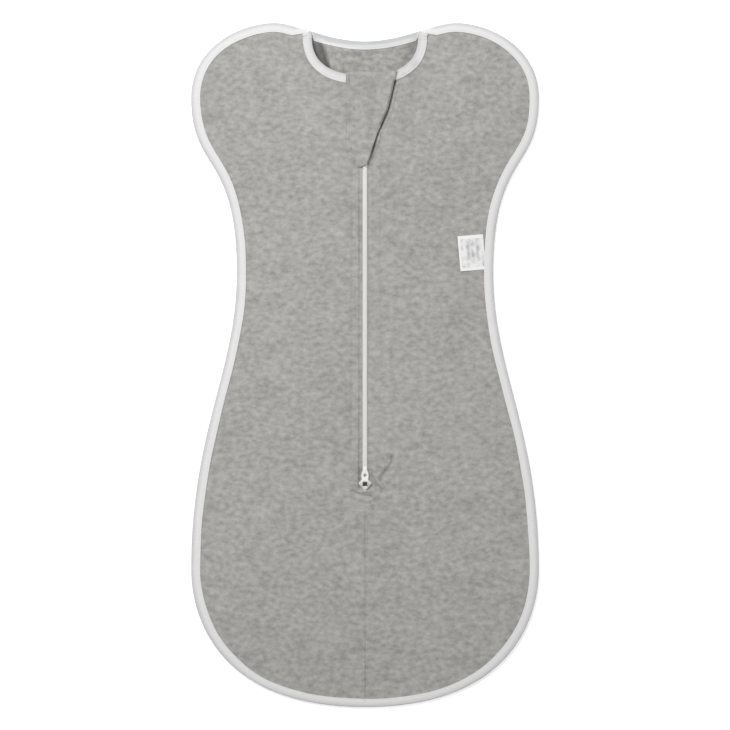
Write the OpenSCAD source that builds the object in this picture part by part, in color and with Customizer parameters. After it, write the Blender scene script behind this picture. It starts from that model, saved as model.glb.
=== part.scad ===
// Cocoon sleeping bag for a small baby, lying flat on its back.
// Two jersey layers are bound together round the edge, with rounded wings for the arms,
// a neck opening, and a two-way zip down the front under a small cloth guard.
// +Y runs from the hem to the head, +Z out of the front, and the back lies on z = 0.

/* [Outline] */
// Overall length, hem to the top of the wings
bag_l = 600; // [480:5:760]
// Width across the hips
hip_w = 305; // [240:1:380]
// Height of the widest part of the hips above the hem
hip_up = 120; // [95:1:150]
// Width of the waist
waist_w = 225; // [190:1:280]
// Distance of the waist below the top
waist_down = 219; // [180:1:260]
// Width across the arm wings
wing_w = 305; // [250:1:380]
// Distance of the widest part of the wings below the top
wing_down = 66; // [55:1:80]
// Half width at which the wings reach the top
wing_top_x = 80; // [70:1:95]

/* [Neck] */
// Width of the neck opening
neck_w = 93; // [80:1:110]
// Distance of the shoulder points below the top
shoulder_down = 7; // [5:1:10]
// Distance of the back neckline below the top
back_neck_down = 16; // [12:1:22]
// Distance of the front neckline below the top
front_neck_down = 46.5; // [40:0.5:60]
// Squareness of the front neckline
neck_square = 2.5; // [2:0.1:3]

/* [Cloth] */
// Thickness of the jersey
cloth_t = 1.0; // [0.6:0.1:1.4]
// Height of the front along the zip
crown_h = 13.4; // [12:0.1:24]
// Fullness of the front between the zip and the edge
puff = 2.4; // [1.8:0.1:4]
// Clearance between two layers of cloth
layer_gap = 0.2; // [0.1:0.05:0.3]
// Clearance along the fold between a lapel and its side
fold_gap = 0.3; // [0.2:0.1:0.6]
// Distance from the centre line to where the lapel folds at the neckline
fold_top_x = 34; // [26:1:38]

/* [Binding] */
// Width of the binding round the edge
edge_bind_w = 8.5; // [6:0.5:11]
// Width of the binding along the front neckline
neck_bind_w = 8; // [6:0.5:9]
// Width of the binding along the back neckline
back_bind_w = 7.6; // [5:0.2:9]
// Thickness of the binding tape
bind_t = 0.7; // [0.4:0.1:1]

/* [Zip] */
// Length of the zip from slider nose to slider nose
zip_l = 355; // [270:1:430]
// Distance of the upper slider's nose below the front neckline
zip_drop = 7.5; // [6:0.5:12]
// Width of one zip tape
tape_w = 12.6; // [10:0.2:16]
// Thickness of the zip tape
tape_t = 0.5; // [0.3:0.1:0.7]
// Width of the closed coil
coil_w = 4.4; // [3.6:0.1:6]
// Thickness of the coil
coil_t = 1.6; // [1.2:0.1:2.4]
// Distance from one coil turn to the next
coil_pitch = 1.3; // [1.2:0.1:2]
// How far each half of the coil moves aside for a slider's wedge
coil_split = 1.7; // [1.5:0.1:2]

/* [Sliders] */
// Length of a slider
slider_l = 10; // [9:0.5:13]
// Thickness of a slider's plates
plate_t = 0.9; // [0.7:0.1:1.2]
// Thickness of a slider's side flanges
flange_t = 0.9; // [0.7:0.1:1.2]
// Width of the bridge that holds the pull
bridge_w = 1.6; // [1.2:0.1:2]
// Length of a pull from its pivot to its tip
pull_l = 15.5; // [12:0.5:22]
// Width of a pull at its pivot
pull_w = 6.4; // [6:0.2:9]
// Thickness of a pull
pull_t = 1.0; // [0.8:0.1:1.1]
// Diameter of the hole near a pull's tip
pull_hole_d = 2.8; // [2:0.1:3.4]
// Running clearance inside a slider
run_gap = 0.2; // [0.15:0.05:0.3]

/* [Zip guard] */
// Length of the guard from its top edge to its tip
guard_l = 84; // [60:1:110]
// Reach of the guard's free corner past the centre line
guard_reach = 27.5; // [20:0.5:32]
// Distance of the guard's seam from the centre line
guard_seam_x = 14; // [12:0.5:16]
// Width of the guard's seam
guard_seam_w = 2.5; // [2:0.5:4]
// Thickness of the guard
guard_t = 0.9; // [0.6:0.1:1.2]

/* [Care label] */
// Reach of the label from the side seam
label_reach = 24; // [15:1:35]
// Width of the label along the seam
label_w = 30; // [20:1:40]
// Thickness of the label tape
label_t = 0.3; // [0.2:0.05:0.5]
// Distance of the label's middle below the top
label_down = 201; // [180:1:230]

/* [Hidden] */

jersey = [0.66, 0.66, 0.64];
white = [0.93, 0.93, 0.92];
slider_white = [0.86, 0.87, 0.87];

eps = 0.01;
$fn = 48;

// --- Heights of the layers, from the floor up ---
rim_z = bind_t + layer_gap;
rim_top = rim_z + cloth_t;
edge_z = rim_top + layer_gap + cloth_t;
back_bind_top = rim_top + layer_gap + bind_t;
shoulder_z = back_bind_top + 2 * layer_gap + bind_t + cloth_t;
// Middle of the coil: the cloth's hem lies on the tape, level with the coil.
chain_z = crown_h - cloth_t - layer_gap + coil_t / 2;
tape_top = chain_z - coil_t / 2;
tape_z = tape_top - tape_t;
bind_low_z = tape_z - layer_gap - bind_t;
bind_high_z = crown_h + layer_gap + bind_t;

// --- Places along the bag ---
top_y = bag_l / 2;
hem_y = -bag_l / 2;
hip = [hip_w / 2, hem_y + hip_up];
waist = [waist_w / 2, top_y - waist_down];
wing = [wing_w / 2, top_y - wing_down];
wing_top = [wing_top_x, top_y];
neck_a = neck_w / 2;
shoulder_lean = 1.5;
shoulder = [neck_a + shoulder_lean, top_y - shoulder_down];
back_neck = [0, top_y - back_neck_down];
front_neck_y = top_y - front_neck_down;
// The front neckline runs straight up to the shoulder above this height.
neck_side_y = shoulder[1] - 4;
neck_depth = neck_side_y - front_neck_y;
zip_top_y = front_neck_y - zip_drop;
zip_low_y = zip_top_y - zip_l;

// --- Small functions ---
function mix(a, b, t) = a + (b - a) * t;
function unit(v) = v / norm(v);
function clamp01(t) = min(1, max(0, t));
function ease(t) = clamp01(t) * clamp01(t) * (3 - 2 * clamp01(t));
function flip(points) = [for (i = [len(points) - 1:-1:0]) [-points[i][0], points[i][1]]];
function bezier(p, t) =
    pow(1 - t, 3) * p[0] + 3 * t * pow(1 - t, 2) * p[1] + 3 * t * t * (1 - t) * p[2] + pow(t, 3) * p[3];
function bezier_run(p, n) = [for (i = [1:n]) bezier(p, i / n)];

// --- Outline of the right half: smooth Bezier runs from hem to back neckline ---
// Each handle is a share of the run's own rise or width, so the curves keep their look at any size.
hem_pull = [0.918, 0.233];
hip_pull = [0.475, 0.33];
waist_pull = [0.693, 0.425];
wing_pull = [0.727, 0.345];
hem_run = [[0, hem_y], [hem_pull[0] * hip[0], hem_y], hip - [0, hem_pull[1] * hip_up], hip];
hip_run = [hip, hip + [0, hip_pull[0] * (waist[1] - hip[1])],
           waist - [0, hip_pull[1] * (waist[1] - hip[1])], waist];
waist_run = [waist, waist + [0, waist_pull[0] * (wing[1] - waist[1])],
             wing - [0, waist_pull[1] * (wing[1] - waist[1])], wing];
wing_run = [wing, wing + [0, wing_pull[0] * wing_down],
            wing_top + [wing_pull[1] * (wing[0] - wing_top[0]), 0], wing_top];
shoulder_handle = 12;
shoulder_run = [wing_top, wing_top - [shoulder_handle, 0], shoulder + [8, shoulder_lean], shoulder];
neck_run = [shoulder, shoulder - [10, 3], back_neck + [20, 0], back_neck];

// --- Front neckline: a superellipse from the centre to the side, then up to the shoulder ---
function neck_point(x) =
    [x, neck_side_y - neck_depth * pow(1 - pow(x / neck_a, neck_square), 1 / neck_square)];
function neck_at(a) =
    [neck_a * pow(sin(a), 2 / neck_square), neck_side_y - neck_depth * pow(cos(a), 2 / neck_square)];
function neck_out(a) =
    let (run = unit(neck_at(min(90, a + 0.5)) - neck_at(max(0, a - 0.5)))) [run[1], -run[0]];
function neck_offset(a, d) = neck_at(a) + d * neck_out(a);
function neck_angle(x) = asin(pow(x / neck_a, neck_square / 2));

// --- Lapel: the level part of the front between the zip and its diagonal fold ---
slider_side_gap = 0.3;
slot_x = coil_w / 2 + coil_split + run_gap + flange_t + slider_side_gap;
lapel_tip_drop = 1.2;
fold_low = [slot_x + 0.3, zip_low_y - lapel_tip_drop];
fold_high = neck_point(fold_top_x);
fold_angle = neck_angle(fold_top_x);
fold_side = unit([fold_high[1] - fold_low[1], fold_low[0] - fold_high[0]]);
function fold_point(s) = mix(fold_low, fold_high, s);

// --- Side of the front: one station holds its inner edge, the end of its level strip,
//     its outer edge and the height of its inner edge. The stations go from the hem's
//     centre round to the shoulder. ---
seam_half = 0.15;
seam_top_y = fold_low[1] - 3;
// Below the zip the stations fan out from this height of the centre seam.
fan_y = seam_top_y - 40;
strip_w = 3;
// Share of the front neckline where it turns up to the shoulder
neck_turn = 0.9;
function level_station(inner, outer) =
    [inner, inner + strip_w * unit(outer - inner), outer, crown_h];
function seam_station(t) =
    level_station([seam_half, mix(fan_y, seam_top_y, t)], bezier(hem_run, t) + [(1 - t) * seam_half, 0]);
function fold_station(s, outer) = level_station(fold_point(s) + fold_side * fold_gap / 2, outer);
function neck_station(v, outer) =
    let (a = mix(fold_angle, 90, min(1, v / neck_turn)),
         up = [0, max(0, v - neck_turn) / (1 - neck_turn) * (shoulder[1] - neck_side_y - 1)],
         aside = v == 0 ? fold_side * fold_gap / 2 : [0, 0])
    [neck_at(a) + up + aside, neck_offset(a, neck_bind_w) + up, outer,
     mix(crown_h, shoulder_z, ease(v * 1.05))];

// Number of stations on each run of the outline
seam_n = 14;
hip_n = 9;
waist_n = 8;
wing_n = 4;
neck_n = 5;
// Shares of the fold that the stations have passed at the waist, at the wing and at its end
waist_share = 0.45;
wing_share = 0.82;
fold_share = 0.98;
// Shares of the wing run at the first and second station past the fold
fold_end = 0.45;
neck_start = 0.5;
neck_mid = 0.5;
last_share = 0.68;
seam_stations = [for (i = [0:seam_n]) seam_station(i / seam_n)];
hip_stations = concat([fold_station(0, bezier(hip_run, 0.03))],
    [for (i = [1:hip_n]) fold_station(waist_share * i / hip_n, bezier(hip_run, i / hip_n))]);
waist_stations = [for (i = [1:waist_n])
    fold_station(mix(waist_share, wing_share, i / waist_n), bezier(waist_run, i / waist_n))];
wing_stations = [for (i = [1:wing_n])
    fold_station(mix(wing_share, fold_share, i / wing_n), bezier(wing_run, fold_end * i / wing_n))];
neck_stations = concat(
    [for (i = [0:neck_n])
        neck_station(neck_mid * i / neck_n, bezier(wing_run, mix(neck_start, 1, i / neck_n)))],
    [for (i = [1:neck_n])
        neck_station(mix(neck_mid, 1, i / neck_n), bezier(shoulder_run, last_share * i / neck_n))]);
stations = concat(seam_stations, hip_stations, waist_stations, wing_stations, neck_stations);
first_neck = len(stations) - len(neck_stations);

// The whole outline, through the outer edge of every station and along the back neckline
half_outline = concat([for (st = stations) st[2]],
                      [for (t = [last_share + 0.12:0.1:1]) bezier(shoulder_run, t)],
                      bezier_run(neck_run, 6));
left_half = flip(half_outline);
outline = concat(half_outline, [for (i = [1:len(left_half) - 1]) left_half[i]]);

// Width of the edge binding at a station: it narrows where the shoulder leaves no room.
leg_share = 0.45;
function leg_w(st) = min(edge_bind_w, leg_share * norm(st[2] - st[1]));
function side_point(st, s) = mix(st[1], st[2], s);
function side_z(st, s) = mix(edge_z, st[3], 1 - pow(s, puff));
function with_z(p, z) = [p[0], p[1], z];
function down(points, d) = [for (p = points) p - [0, 0, d]];

// Top line of the cloth at one station. The inner line runs from the inner edge to the cut,
// the outer line from the cut to the edge: the cloth is cut there by a hairline, so that each
// solid is a shallow arch and its collision shape follows it.
cut_share = 0.6;
cut_gap = 0.1;
inner_steps = 4;
outer_steps = 4;
function on_cloth(st, s) = with_z(side_point(st, s), side_z(st, s));
function leg_at(st) = 1 - leg_w(st) / norm(st[2] - st[1]);
function cut_at(st) = min(cut_share, leg_at(st) - 0.05);
function inner_line(i) =
    let (st = stations[i], s_cut = cut_at(st) - cut_gap / norm(st[2] - st[1]),
         start = i >= first_neck ? st[0] + (bind_t + layer_gap) * unit(st[1] - st[0]) : st[0])
    concat([with_z(start, st[3]), with_z(st[1], st[3])],
           [for (k = [1:inner_steps]) on_cloth(st, s_cut * k / inner_steps)]);
function outer_line(i) =
    let (st = stations[i],
         s_leg = leg_at(st),
         s_end = 1 - (bind_t + layer_gap) / norm(st[2] - st[1]),
         end_z = mix(side_z(st, s_leg), edge_z, (s_end - s_leg) / (1 - s_leg)))
    concat([for (k = [0:outer_steps]) on_cloth(st, mix(cut_at(st), s_leg, k / outer_steps))],
           [with_z(side_point(st, s_end), end_z)]);
function cloth_ring(top) =
    let (low = down(top, cloth_t), m = len(top)) concat(low, [for (k = [m - 1:-1:0]) top[k]]);
// The rings of one length of a strip, held back by a hairline from the next length
function length_of(rings, from, to) =
    let (last = to == len(rings) - 1 ? 1 : 1 - cut_gap / norm(rings[to][0] - rings[to - 1][0]))
    concat([for (i = [from:to - 1]) rings[i]], [mix(rings[to - 1], rings[to], last)]);

// --- Solids from rings of points: each ring is a closed section of the solid ---
module ring_solid(rings, caps) {
    m = len(rings[0]);
    n = len(rings);
    points = [for (r = rings) for (p = r) p];
    sides = [for (i = [0:n - 2]) for (k = [0:m - 1])
        let (a = i * m + k, b = i * m + (k + 1) % m)
        each k < m / 2 ? [[a, b, b + m], [a, b + m, a + m]] : [[a, b, a + m], [b, b + m, a + m]]];
    first = [for (cap = caps) [for (k = [len(cap) - 1:-1:0]) cap[k]]];
    last = [for (cap = caps) [for (k = cap) (n - 1) * m + k]];
    polyhedron(points, concat(first, sides, last));
}
// End faces of a ring whose second half runs back under its first half
function strip_caps(m) = [for (k = [0:m / 2 - 2]) each [[k, k + 1, m - 2 - k], [k, m - 2 - k, m - 1 - k]]];
// End faces of a ring that is a folded tape: lower leg, wall, upper leg
fold_caps = [[0, 1, 2], [0, 2, 3], [0, 3, 4], [0, 4, 7], [4, 5, 6], [4, 6, 7]];

// A flat layer from a list of plan points
module layer(points, low, high) {
    translate([0, 0, low]) linear_extrude(high - low) polygon(points);
}

module left_of(is_left) {
    mirror([is_left ? 1 : 0, 0, 0]) children();
}

// --- Cloth ---
module back_layer(held_in, low, high) {
    translate([0, 0, low]) linear_extrude(high - low) offset(delta = -held_in) polygon(outline);
}

// The back lies on the floor inside the binding, and its rim steps up into the binding's fold.
module back_panel() {
    rim_margin = 1;
    rim_overlap = 1.5;
    color(jersey) union() {
        back_layer(edge_bind_w + rim_margin, 0, cloth_t);
        difference() {
            back_layer(bind_t + layer_gap, rim_z, rim_top);
            back_layer(edge_bind_w + rim_margin + rim_overlap, 0, crown_h);
        }
    }
}

last_station = len(stations) - 1;
inner_cuts = [0, 14, 24, 32, last_station];
outer_cuts = [0, 5, 10, 14, 19, 24, 28, 32, 36, 40, 43, last_station];
module side_panel() {
    inner = [for (i = [0:last_station]) cloth_ring(inner_line(i))];
    outer = [for (i = [0:last_station]) cloth_ring(outer_line(i))];
    color(jersey) {
        for (k = [1:len(inner_cuts) - 1])
            ring_solid(length_of(inner, inner_cuts[k - 1], inner_cuts[k]), strip_caps(len(inner[0])));
        for (k = [1:len(outer_cuts) - 1])
            ring_solid(length_of(outer, outer_cuts[k - 1], outer_cuts[k]), strip_caps(len(outer[0])));
    }
}

// Plan of a lapel, its neckline edge held back by d
lapel_start = 0.03;
function lapel_plan(d, n = 12) =
    let (a0 = neck_angle(slot_x), inner = -fold_side * fold_gap / 2, down_fold = unit(fold_low - fold_high))
    concat([[slot_x, fold_point(lapel_start)[1]], fold_point(lapel_start) + inner],
           [fold_high + inner + down_fold * d / (down_fold * neck_out(fold_angle))],
           [for (i = [1:n]) let (a = mix(fold_angle, a0, i / n)) [neck_at(a)[0], neck_offset(a, d)[1]]]);

module lapel() {
    color(jersey) layer(lapel_plan(bind_t + layer_gap), crown_h - cloth_t, crown_h);
}

// Overlocked seam allowance behind the centre seam, following the front's fall to the hem
module centre_seam() {
    allowance_w = 8;
    allowance_t = 1.2;
    start_y = zip_low_y - 11;
    end_share = 0.93;
    line = [for (i = [0:9])
        let (st = stations[0], t = end_share * i / 9) [side_point(st, t)[1], side_z(st, t)]];
    top = concat([[start_y, crown_h]], line);
    seam_gap = 0.35;
    drop = cloth_t + seam_gap;
    low = [for (i = [len(top) - 1:-1:0]) top[i] - [0, drop + allowance_t]];
    high = [for (p = top) p - [0, drop]];
    color(jersey) rotate([90, 0, 90])
        linear_extrude(allowance_w, center = true) polygon(concat(high, low));
}

// --- Bindings: folded tapes that wrap the raw edges ---
function edge_ring(st) =
    let (w = leg_w(st), len_s = norm(st[2] - st[1]), s_leg = 1 - w / len_s,
         to_in = unit(st[1] - st[2]), over = layer_gap,
         leg_z = side_z(st, s_leg) + over, wall_z = mix(edge_z + over, leg_z, bind_t / w))
    [with_z(st[2], 0), with_z(st[2] + to_in * w, 0), with_z(st[2] + to_in * w, bind_t),
     with_z(st[2] + to_in * bind_t, bind_t), with_z(st[2] + to_in * bind_t, wall_z),
     with_z(st[2] + to_in * w, leg_z), with_z(st[2] + to_in * w, leg_z + bind_t),
     with_z(st[2], edge_z + over + bind_t)];

// The binding is cut into the same lengths as the cloth that it holds.
module edge_binding() {
    rings = [for (i = [last_station:-1:0]) edge_ring(stations[i])];
    color(white)
        for (is_left = [false, true])
            left_of(is_left)
                for (k = [1:len(outer_cuts) - 1])
                    ring_solid(length_of(rings, last_station - outer_cuts[k], last_station - outer_cuts[k - 1]),
                               fold_caps);
}

module back_neck_binding() {
    steps = 10;
    half = [for (i = [2:steps]) bezier(neck_run, i / steps)];
    left = [for (i = [0:steps - 3]) [-half[i][0], half[i][1]]];
    path = concat(left, [for (i = [steps - 2:-1:0]) half[i]]);
    n = len(path);
    sections = [for (i = [0:n - 1])
        let (run = unit(path[min(n - 1, i + 1)] - path[max(0, i - 1)]), to_in = [run[1], -run[0]],
             p = path[i], leg = p + to_in * back_bind_w, wall = p + to_in * bind_t)
        [with_z(p, 0), with_z(leg, 0), with_z(leg, bind_t), with_z(wall, bind_t),
         with_z(wall, back_bind_top - bind_t), with_z(leg, back_bind_top - bind_t),
         with_z(leg, back_bind_top), with_z(p, back_bind_top)]];
    color(white) ring_solid(sections, fold_caps);
}

// Neckline binding on a lapel: an upper leg, a lower leg under the zip tape, and the fold
module neck_binding() {
    color(white) difference() {
        intersection() {
            layer(lapel_plan(0), bind_low_z, bind_high_z);
            layer(neck_band(0, neck_bind_w), bind_low_z - 1, bind_high_z + 1);
        }
        layer(neck_band(bind_t, 1.5 * neck_bind_w), bind_low_z + bind_t, bind_high_z - bind_t);
    }
}
// A band beside the front neckline, from the centre to past the fold
function neck_band(d_in, d_out, n = 16) =
    let (end = fold_angle + 12)
    concat([for (i = [0:n]) neck_offset(mix(0, end, i / n), d_in)],
           [for (i = [n:-1:0]) neck_offset(mix(0, end, i / n), d_out)]);

// Neckline binding from the fold up to the shoulder
module shoulder_binding() {
    leg_gap = 0.6;
    own = [for (i = [first_neck:len(stations) - 1]) stations[i]];
    sections = [for (st = own)
        let (out = unit(st[1] - st[0]), p = st[0], w = neck_bind_w - leg_gap, high = st[3] + layer_gap,
             low = st[3] - cloth_t - layer_gap)
        [with_z(p, low - bind_t), with_z(p + out * w, low - bind_t), with_z(p + out * w, low),
         with_z(p + out * bind_t, low), with_z(p + out * bind_t, high), with_z(p + out * w, high),
         with_z(p + out * w, high + bind_t), with_z(p, high + bind_t)]];
    color(white) ring_solid(sections, fold_caps);
}

// --- Zip chain ---
slider_w = 2 * (slot_x - slider_side_gap);
split_flat = 4;
split_end = 8;
split_step = 0.5;
// Sideways shift of a coil half: it opens round the wedge inside each slider.
function nose_gap(y) = min(y - zip_low_y, zip_top_y - y);
function shift_at(y) = coil_split * ease((split_end - nose_gap(y)) / (split_end - split_flat));
tape_inner = 0.4;
tape_low_y = zip_low_y - 9;
tape_high_y = front_neck_y - bind_t - 2 * layer_gap;

module zip_tape() {
    marks = concat([tape_low_y], [for (u = [0:split_step:split_end]) zip_low_y + u],
                   [for (u = [split_end:-split_step:0]) zip_top_y - u], [tape_high_y]);
    inner = [for (y = marks) [tape_inner + shift_at(y), y]];
    color(white) layer(concat([[tape_inner + tape_w, tape_low_y], [tape_inner + tape_w, tape_high_y]],
        [for (i = [len(inner) - 1:-1:0]) inner[i]]), tape_z, tape_top);
}

// One half of the coil: a spine with one tooth a turn, set half a turn apart from its partner
module coil_half(is_left) {
    tooth_gap = 0.15;
    tooth_w = coil_pitch / 2 - tooth_gap;
    reach = 0.6;
    spine_x = reach + tooth_gap;
    start_y = zip_low_y - 0.2 + (is_left ? coil_pitch / 2 : 0);
    turns = floor((zip_l - coil_pitch / 2) / coil_pitch);
    teeth = [for (i = [0:turns - 1])
        let (y = start_y + i * coil_pitch, dx = shift_at(y + tooth_w / 2))
        each [[spine_x + dx, y], [dx - reach, y], [dx - reach, y + tooth_w], [spine_x + dx, y + tooth_w]]];
    ends = [for (u = [0:split_step:split_end]) u];
    outer = concat([for (u = ends) [coil_w / 2 + shift_at(zip_top_y - u), zip_top_y - u]],
        [for (i = [len(ends) - 1:-1:0]) [coil_w / 2 + shift_at(zip_low_y + ends[i]), zip_low_y + ends[i]]]);
    color(white) left_of(is_left)
        layer(concat(teeth, outer), chain_z - coil_t / 2 + layer_gap / 4, chain_z + coil_t / 2);
}

module top_stop() {
    stop_size = [coil_w / 2, 2, 1.4];
    color(slider_white) translate([coil_split + run_gap, zip_top_y + 0.5, tape_top + layer_gap / 2])
        cube(stop_size);
}

module bottom_stop() {
    stop_size = [coil_w + 2 * coil_split, 1.5, 1.2];
    corner = [-stop_size[0] / 2, zip_low_y - stop_size[1] - 0.4, tape_top + layer_gap / 2];
    color(slider_white) translate(corner) cube(stop_size);
}

// --- Sliders: built nose down, with the nose at y = 0 and the chain's middle at z = 0 ---
channel_top = coil_t / 2 + run_gap;
channel_low = -coil_t / 2 - tape_t - run_gap;
flange_low = -coil_t / 2 + run_gap;
slider_top = channel_top + plate_t;
pull_gap = 0.1;
pivot_z = slider_top + pull_gap + pull_t / 2;
bridge_half = 3.6;
bridge_leg = 1;
bridge_under = pivot_z + pull_t / 2 + pull_gap + 0.05;
bridge_top = bridge_under + 0.8;

// Shield shape of a plate: a narrow nose, wide shoulders, and sides that draw in to the tail
module slider_plan() {
    half = slider_w / 2;
    nose = 1.6;
    shoulder_low = 3;
    shoulder_high = 4.6;
    tail = half - 0.9;
    corner_r = 1.2;
    offset(corner_r) offset(-corner_r) polygon([
        [-nose, 0], [nose, 0], [half, shoulder_low], [half, shoulder_high], [tail, slider_l],
        [-tail, slider_l], [-half, shoulder_high], [-half, shoulder_low]]);
}

// Wedge that parts the coil halves, pointing to the tail
module wedge() {
    front = [0.3, 0.6];
    widest = [0.95, 2.2];
    point = [0.05, 5.2];
    polygon([[-front[0], front[1]], front, widest, point, [-point[0], point[1]], [-widest[0], widest[1]]]);
}

module slider() {
    color(slider_white) union() {
        translate([0, 0, channel_top]) linear_extrude(plate_t) slider_plan();
        translate([0, 0, channel_low - plate_t]) linear_extrude(plate_t) slider_plan();
        translate([0, 0, flange_low]) linear_extrude(channel_top - flange_low + eps) difference() {
            slider_plan();
            square([slider_w - 2 * flange_t, 3 * slider_l], center = true);
        }
        translate([0, 0, channel_low - eps]) linear_extrude(channel_top - channel_low + 2 * eps) wedge();
        // bridge: two posts and the bar over the pull's pivot
        translate([-bridge_w / 2, slider_l / 2 - bridge_half, slider_top - eps]) difference() {
            cube([bridge_w, 2 * bridge_half, bridge_top - slider_top]);
            translate([-1, bridge_leg, -1])
                cube([bridge_w + 2, 2 * (bridge_half - bridge_leg), bridge_under - slider_top + 1]);
        }
    }
}

// Pull: a tab whose end bar turns under the bridge. It points towards +Y.
module pull() {
    arm_x = bridge_w / 2 + 0.3;
    tab_y = bridge_half + 0.7;
    hole_y = tab_y + 4.6;
    tip_w = 4.6;
    tip_corner = [1.2, 1.4];
    color(slider_white) union() {
        rotate([0, 90, 0]) cylinder(h = pull_w, d = pull_t, center = true);
        for (side = [-1, 1])
            translate([side > 0 ? arm_x : -pull_w / 2, 0, -pull_t / 2])
                cube([pull_w / 2 - arm_x, tab_y + eps, pull_t]);
        difference() {
            translate([0, 0, -pull_t / 2]) linear_extrude(pull_t) polygon([
                [-pull_w / 2, tab_y], [pull_w / 2, tab_y], [tip_w / 2, pull_l - tip_corner[1]],
                [tip_w / 2 - tip_corner[0], pull_l], [tip_corner[0] - tip_w / 2, pull_l],
                [-tip_w / 2, pull_l - tip_corner[1]]]);
            translate([0, hole_y, 0]) cylinder(h = 2 * pull_t, d = pull_hole_d, center = true);
        }
    }
}

// A slider's noses face away from each other: these place what is built nose down at the origin.
module lower_at(y_shift) {
    translate([0, zip_low_y + y_shift, chain_z]) children();
}

module upper_at(y_shift) {
    translate([0, zip_top_y - y_shift, chain_z]) rotate([0, 0, 180]) children();
}

// --- Zip guard: sewn to the left lapel, it lies over the upper slider ---
module zip_guard() {
    seam_x = -guard_seam_x;
    top = front_neck_y + 3;
    tip = [0, top - guard_l];
    bow = 0.37 * guard_l;
    free_edge = [[guard_reach, top], [guard_reach - 1, top - bow],
                 [tip[0] + 10, tip[1] + bow], tip + [1, 1.5]];
    plan = concat([[seam_x - guard_seam_w, top], [guard_reach - 2, top]], bezier_run(free_edge, 12),
                  [tip - [3, 0.5], tip - [6, 0], tip + [-9, 3]], [[seam_x - guard_seam_w, tip[1] + 22]]);
    rise = chain_z + bridge_top + 0.3;
    flat = 3;
    seam_z = crown_h + layer_gap + 0.05;
    far_z = bind_high_z + 0.6;
    under = [[seam_x - guard_seam_w, seam_z], [seam_x, seam_z], [-flat, rise], [flat, rise],
             [guard_reach + 1, far_z]];
    section = concat(under, [for (i = [len(under) - 1:-1:0]) under[i] + [0, guard_t]]);
    color(jersey) difference() {
        intersection() {
            layer(plan, 0, rise + 5);
            translate([0, top + 1, 0]) rotate([90, 0, 0]) linear_extrude(guard_l + 2) polygon(section);
        }
        // the seam stops at the neckline binding
        mirror([1, 0, 0]) layer(neck_band(-4, neck_bind_w + layer_gap), 0, bind_high_z + layer_gap);
    }
}

// --- Care label: a folded tape caught in the right side seam ---
// Height of the cloth at a station, at a distance x from the centre line
function height_at(st, x) = side_z(st, clamp01((x - st[1][0]) / (st[2][0] - st[1][0])));
module care_label() {
    y_mid = top_y - label_down;
    near = [for (st = stations) if (abs(st[2][1] - y_mid) < label_w) st];
    seam_gap = 0.3;
    root_x = min([for (st = near) st[2][0]]) - edge_bind_w - seam_gap;
    tip_x = root_x - label_reach;
    root_z = max([for (st = near) height_at(st, root_x)]) + bind_t + seam_gap;
    tip_z = max([for (st = near) height_at(st, tip_x)]) + seam_gap;
    tilt = atan((tip_z - root_z) / label_reach);
    leaf_gap = 0.2;
    label_margin = 4;
    label_clear = 0.27;
    thick = 2 * label_t + leaf_gap;
    // The cloth arches between the label's ends: where it would stand above the line
    // between them, the whole label is lifted clear.
    arch = max([for (st = stations, k = [0:0.05:1])
                let (x = mix(root_x, tip_x, k), share = (x - st[1][0]) / (st[2][0] - st[1][0]),
                     y = mix(st[1][1], st[2][1], share))
                if (abs(y - y_mid) < label_w / 2 + label_margin)
                height_at(st, x) - mix(root_z, tip_z, k)]);
    lift = max(0, arch + label_clear);
    color(white) translate([root_x, y_mid, root_z + lift]) rotate([0, tilt, 0])
        translate([-label_reach, -label_w / 2, 0]) difference() {
            cube([label_reach, label_w, thick]);
            translate([label_t, -1, label_t]) cube([label_reach, label_w + 2, leaf_gap]);
        }
}

back_panel();
left_of(true) side_panel();  // front_left_panel
left_of(false) side_panel();  // front_right_panel
left_of(true) lapel();  // left_lapel
left_of(false) lapel();  // right_lapel
centre_seam();
edge_binding();
back_neck_binding();
left_of(true) neck_binding();  // left_neck_binding
left_of(false) neck_binding();  // right_neck_binding
left_of(true) shoulder_binding();  // left_shoulder_binding
left_of(false) shoulder_binding();  // right_shoulder_binding
left_of(true) zip_tape();  // left_zip_tape
left_of(false) zip_tape();  // right_zip_tape
coil_half(true);  // left_coil
coil_half(false);  // right_coil
left_of(true) top_stop();  // left_top_stop
left_of(false) top_stop();  // right_top_stop
bottom_stop();
upper_at(0) slider();  // upper_slider
upper_at(slider_l / 2) translate([0, 0, pivot_z]) pull();  // upper_pull
lower_at(0) slider();  // lower_slider
lower_at(slider_l / 2) translate([0, 0, pivot_z]) pull();  // lower_pull
zip_guard();
care_label();
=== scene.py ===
# %% [markdown]
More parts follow.
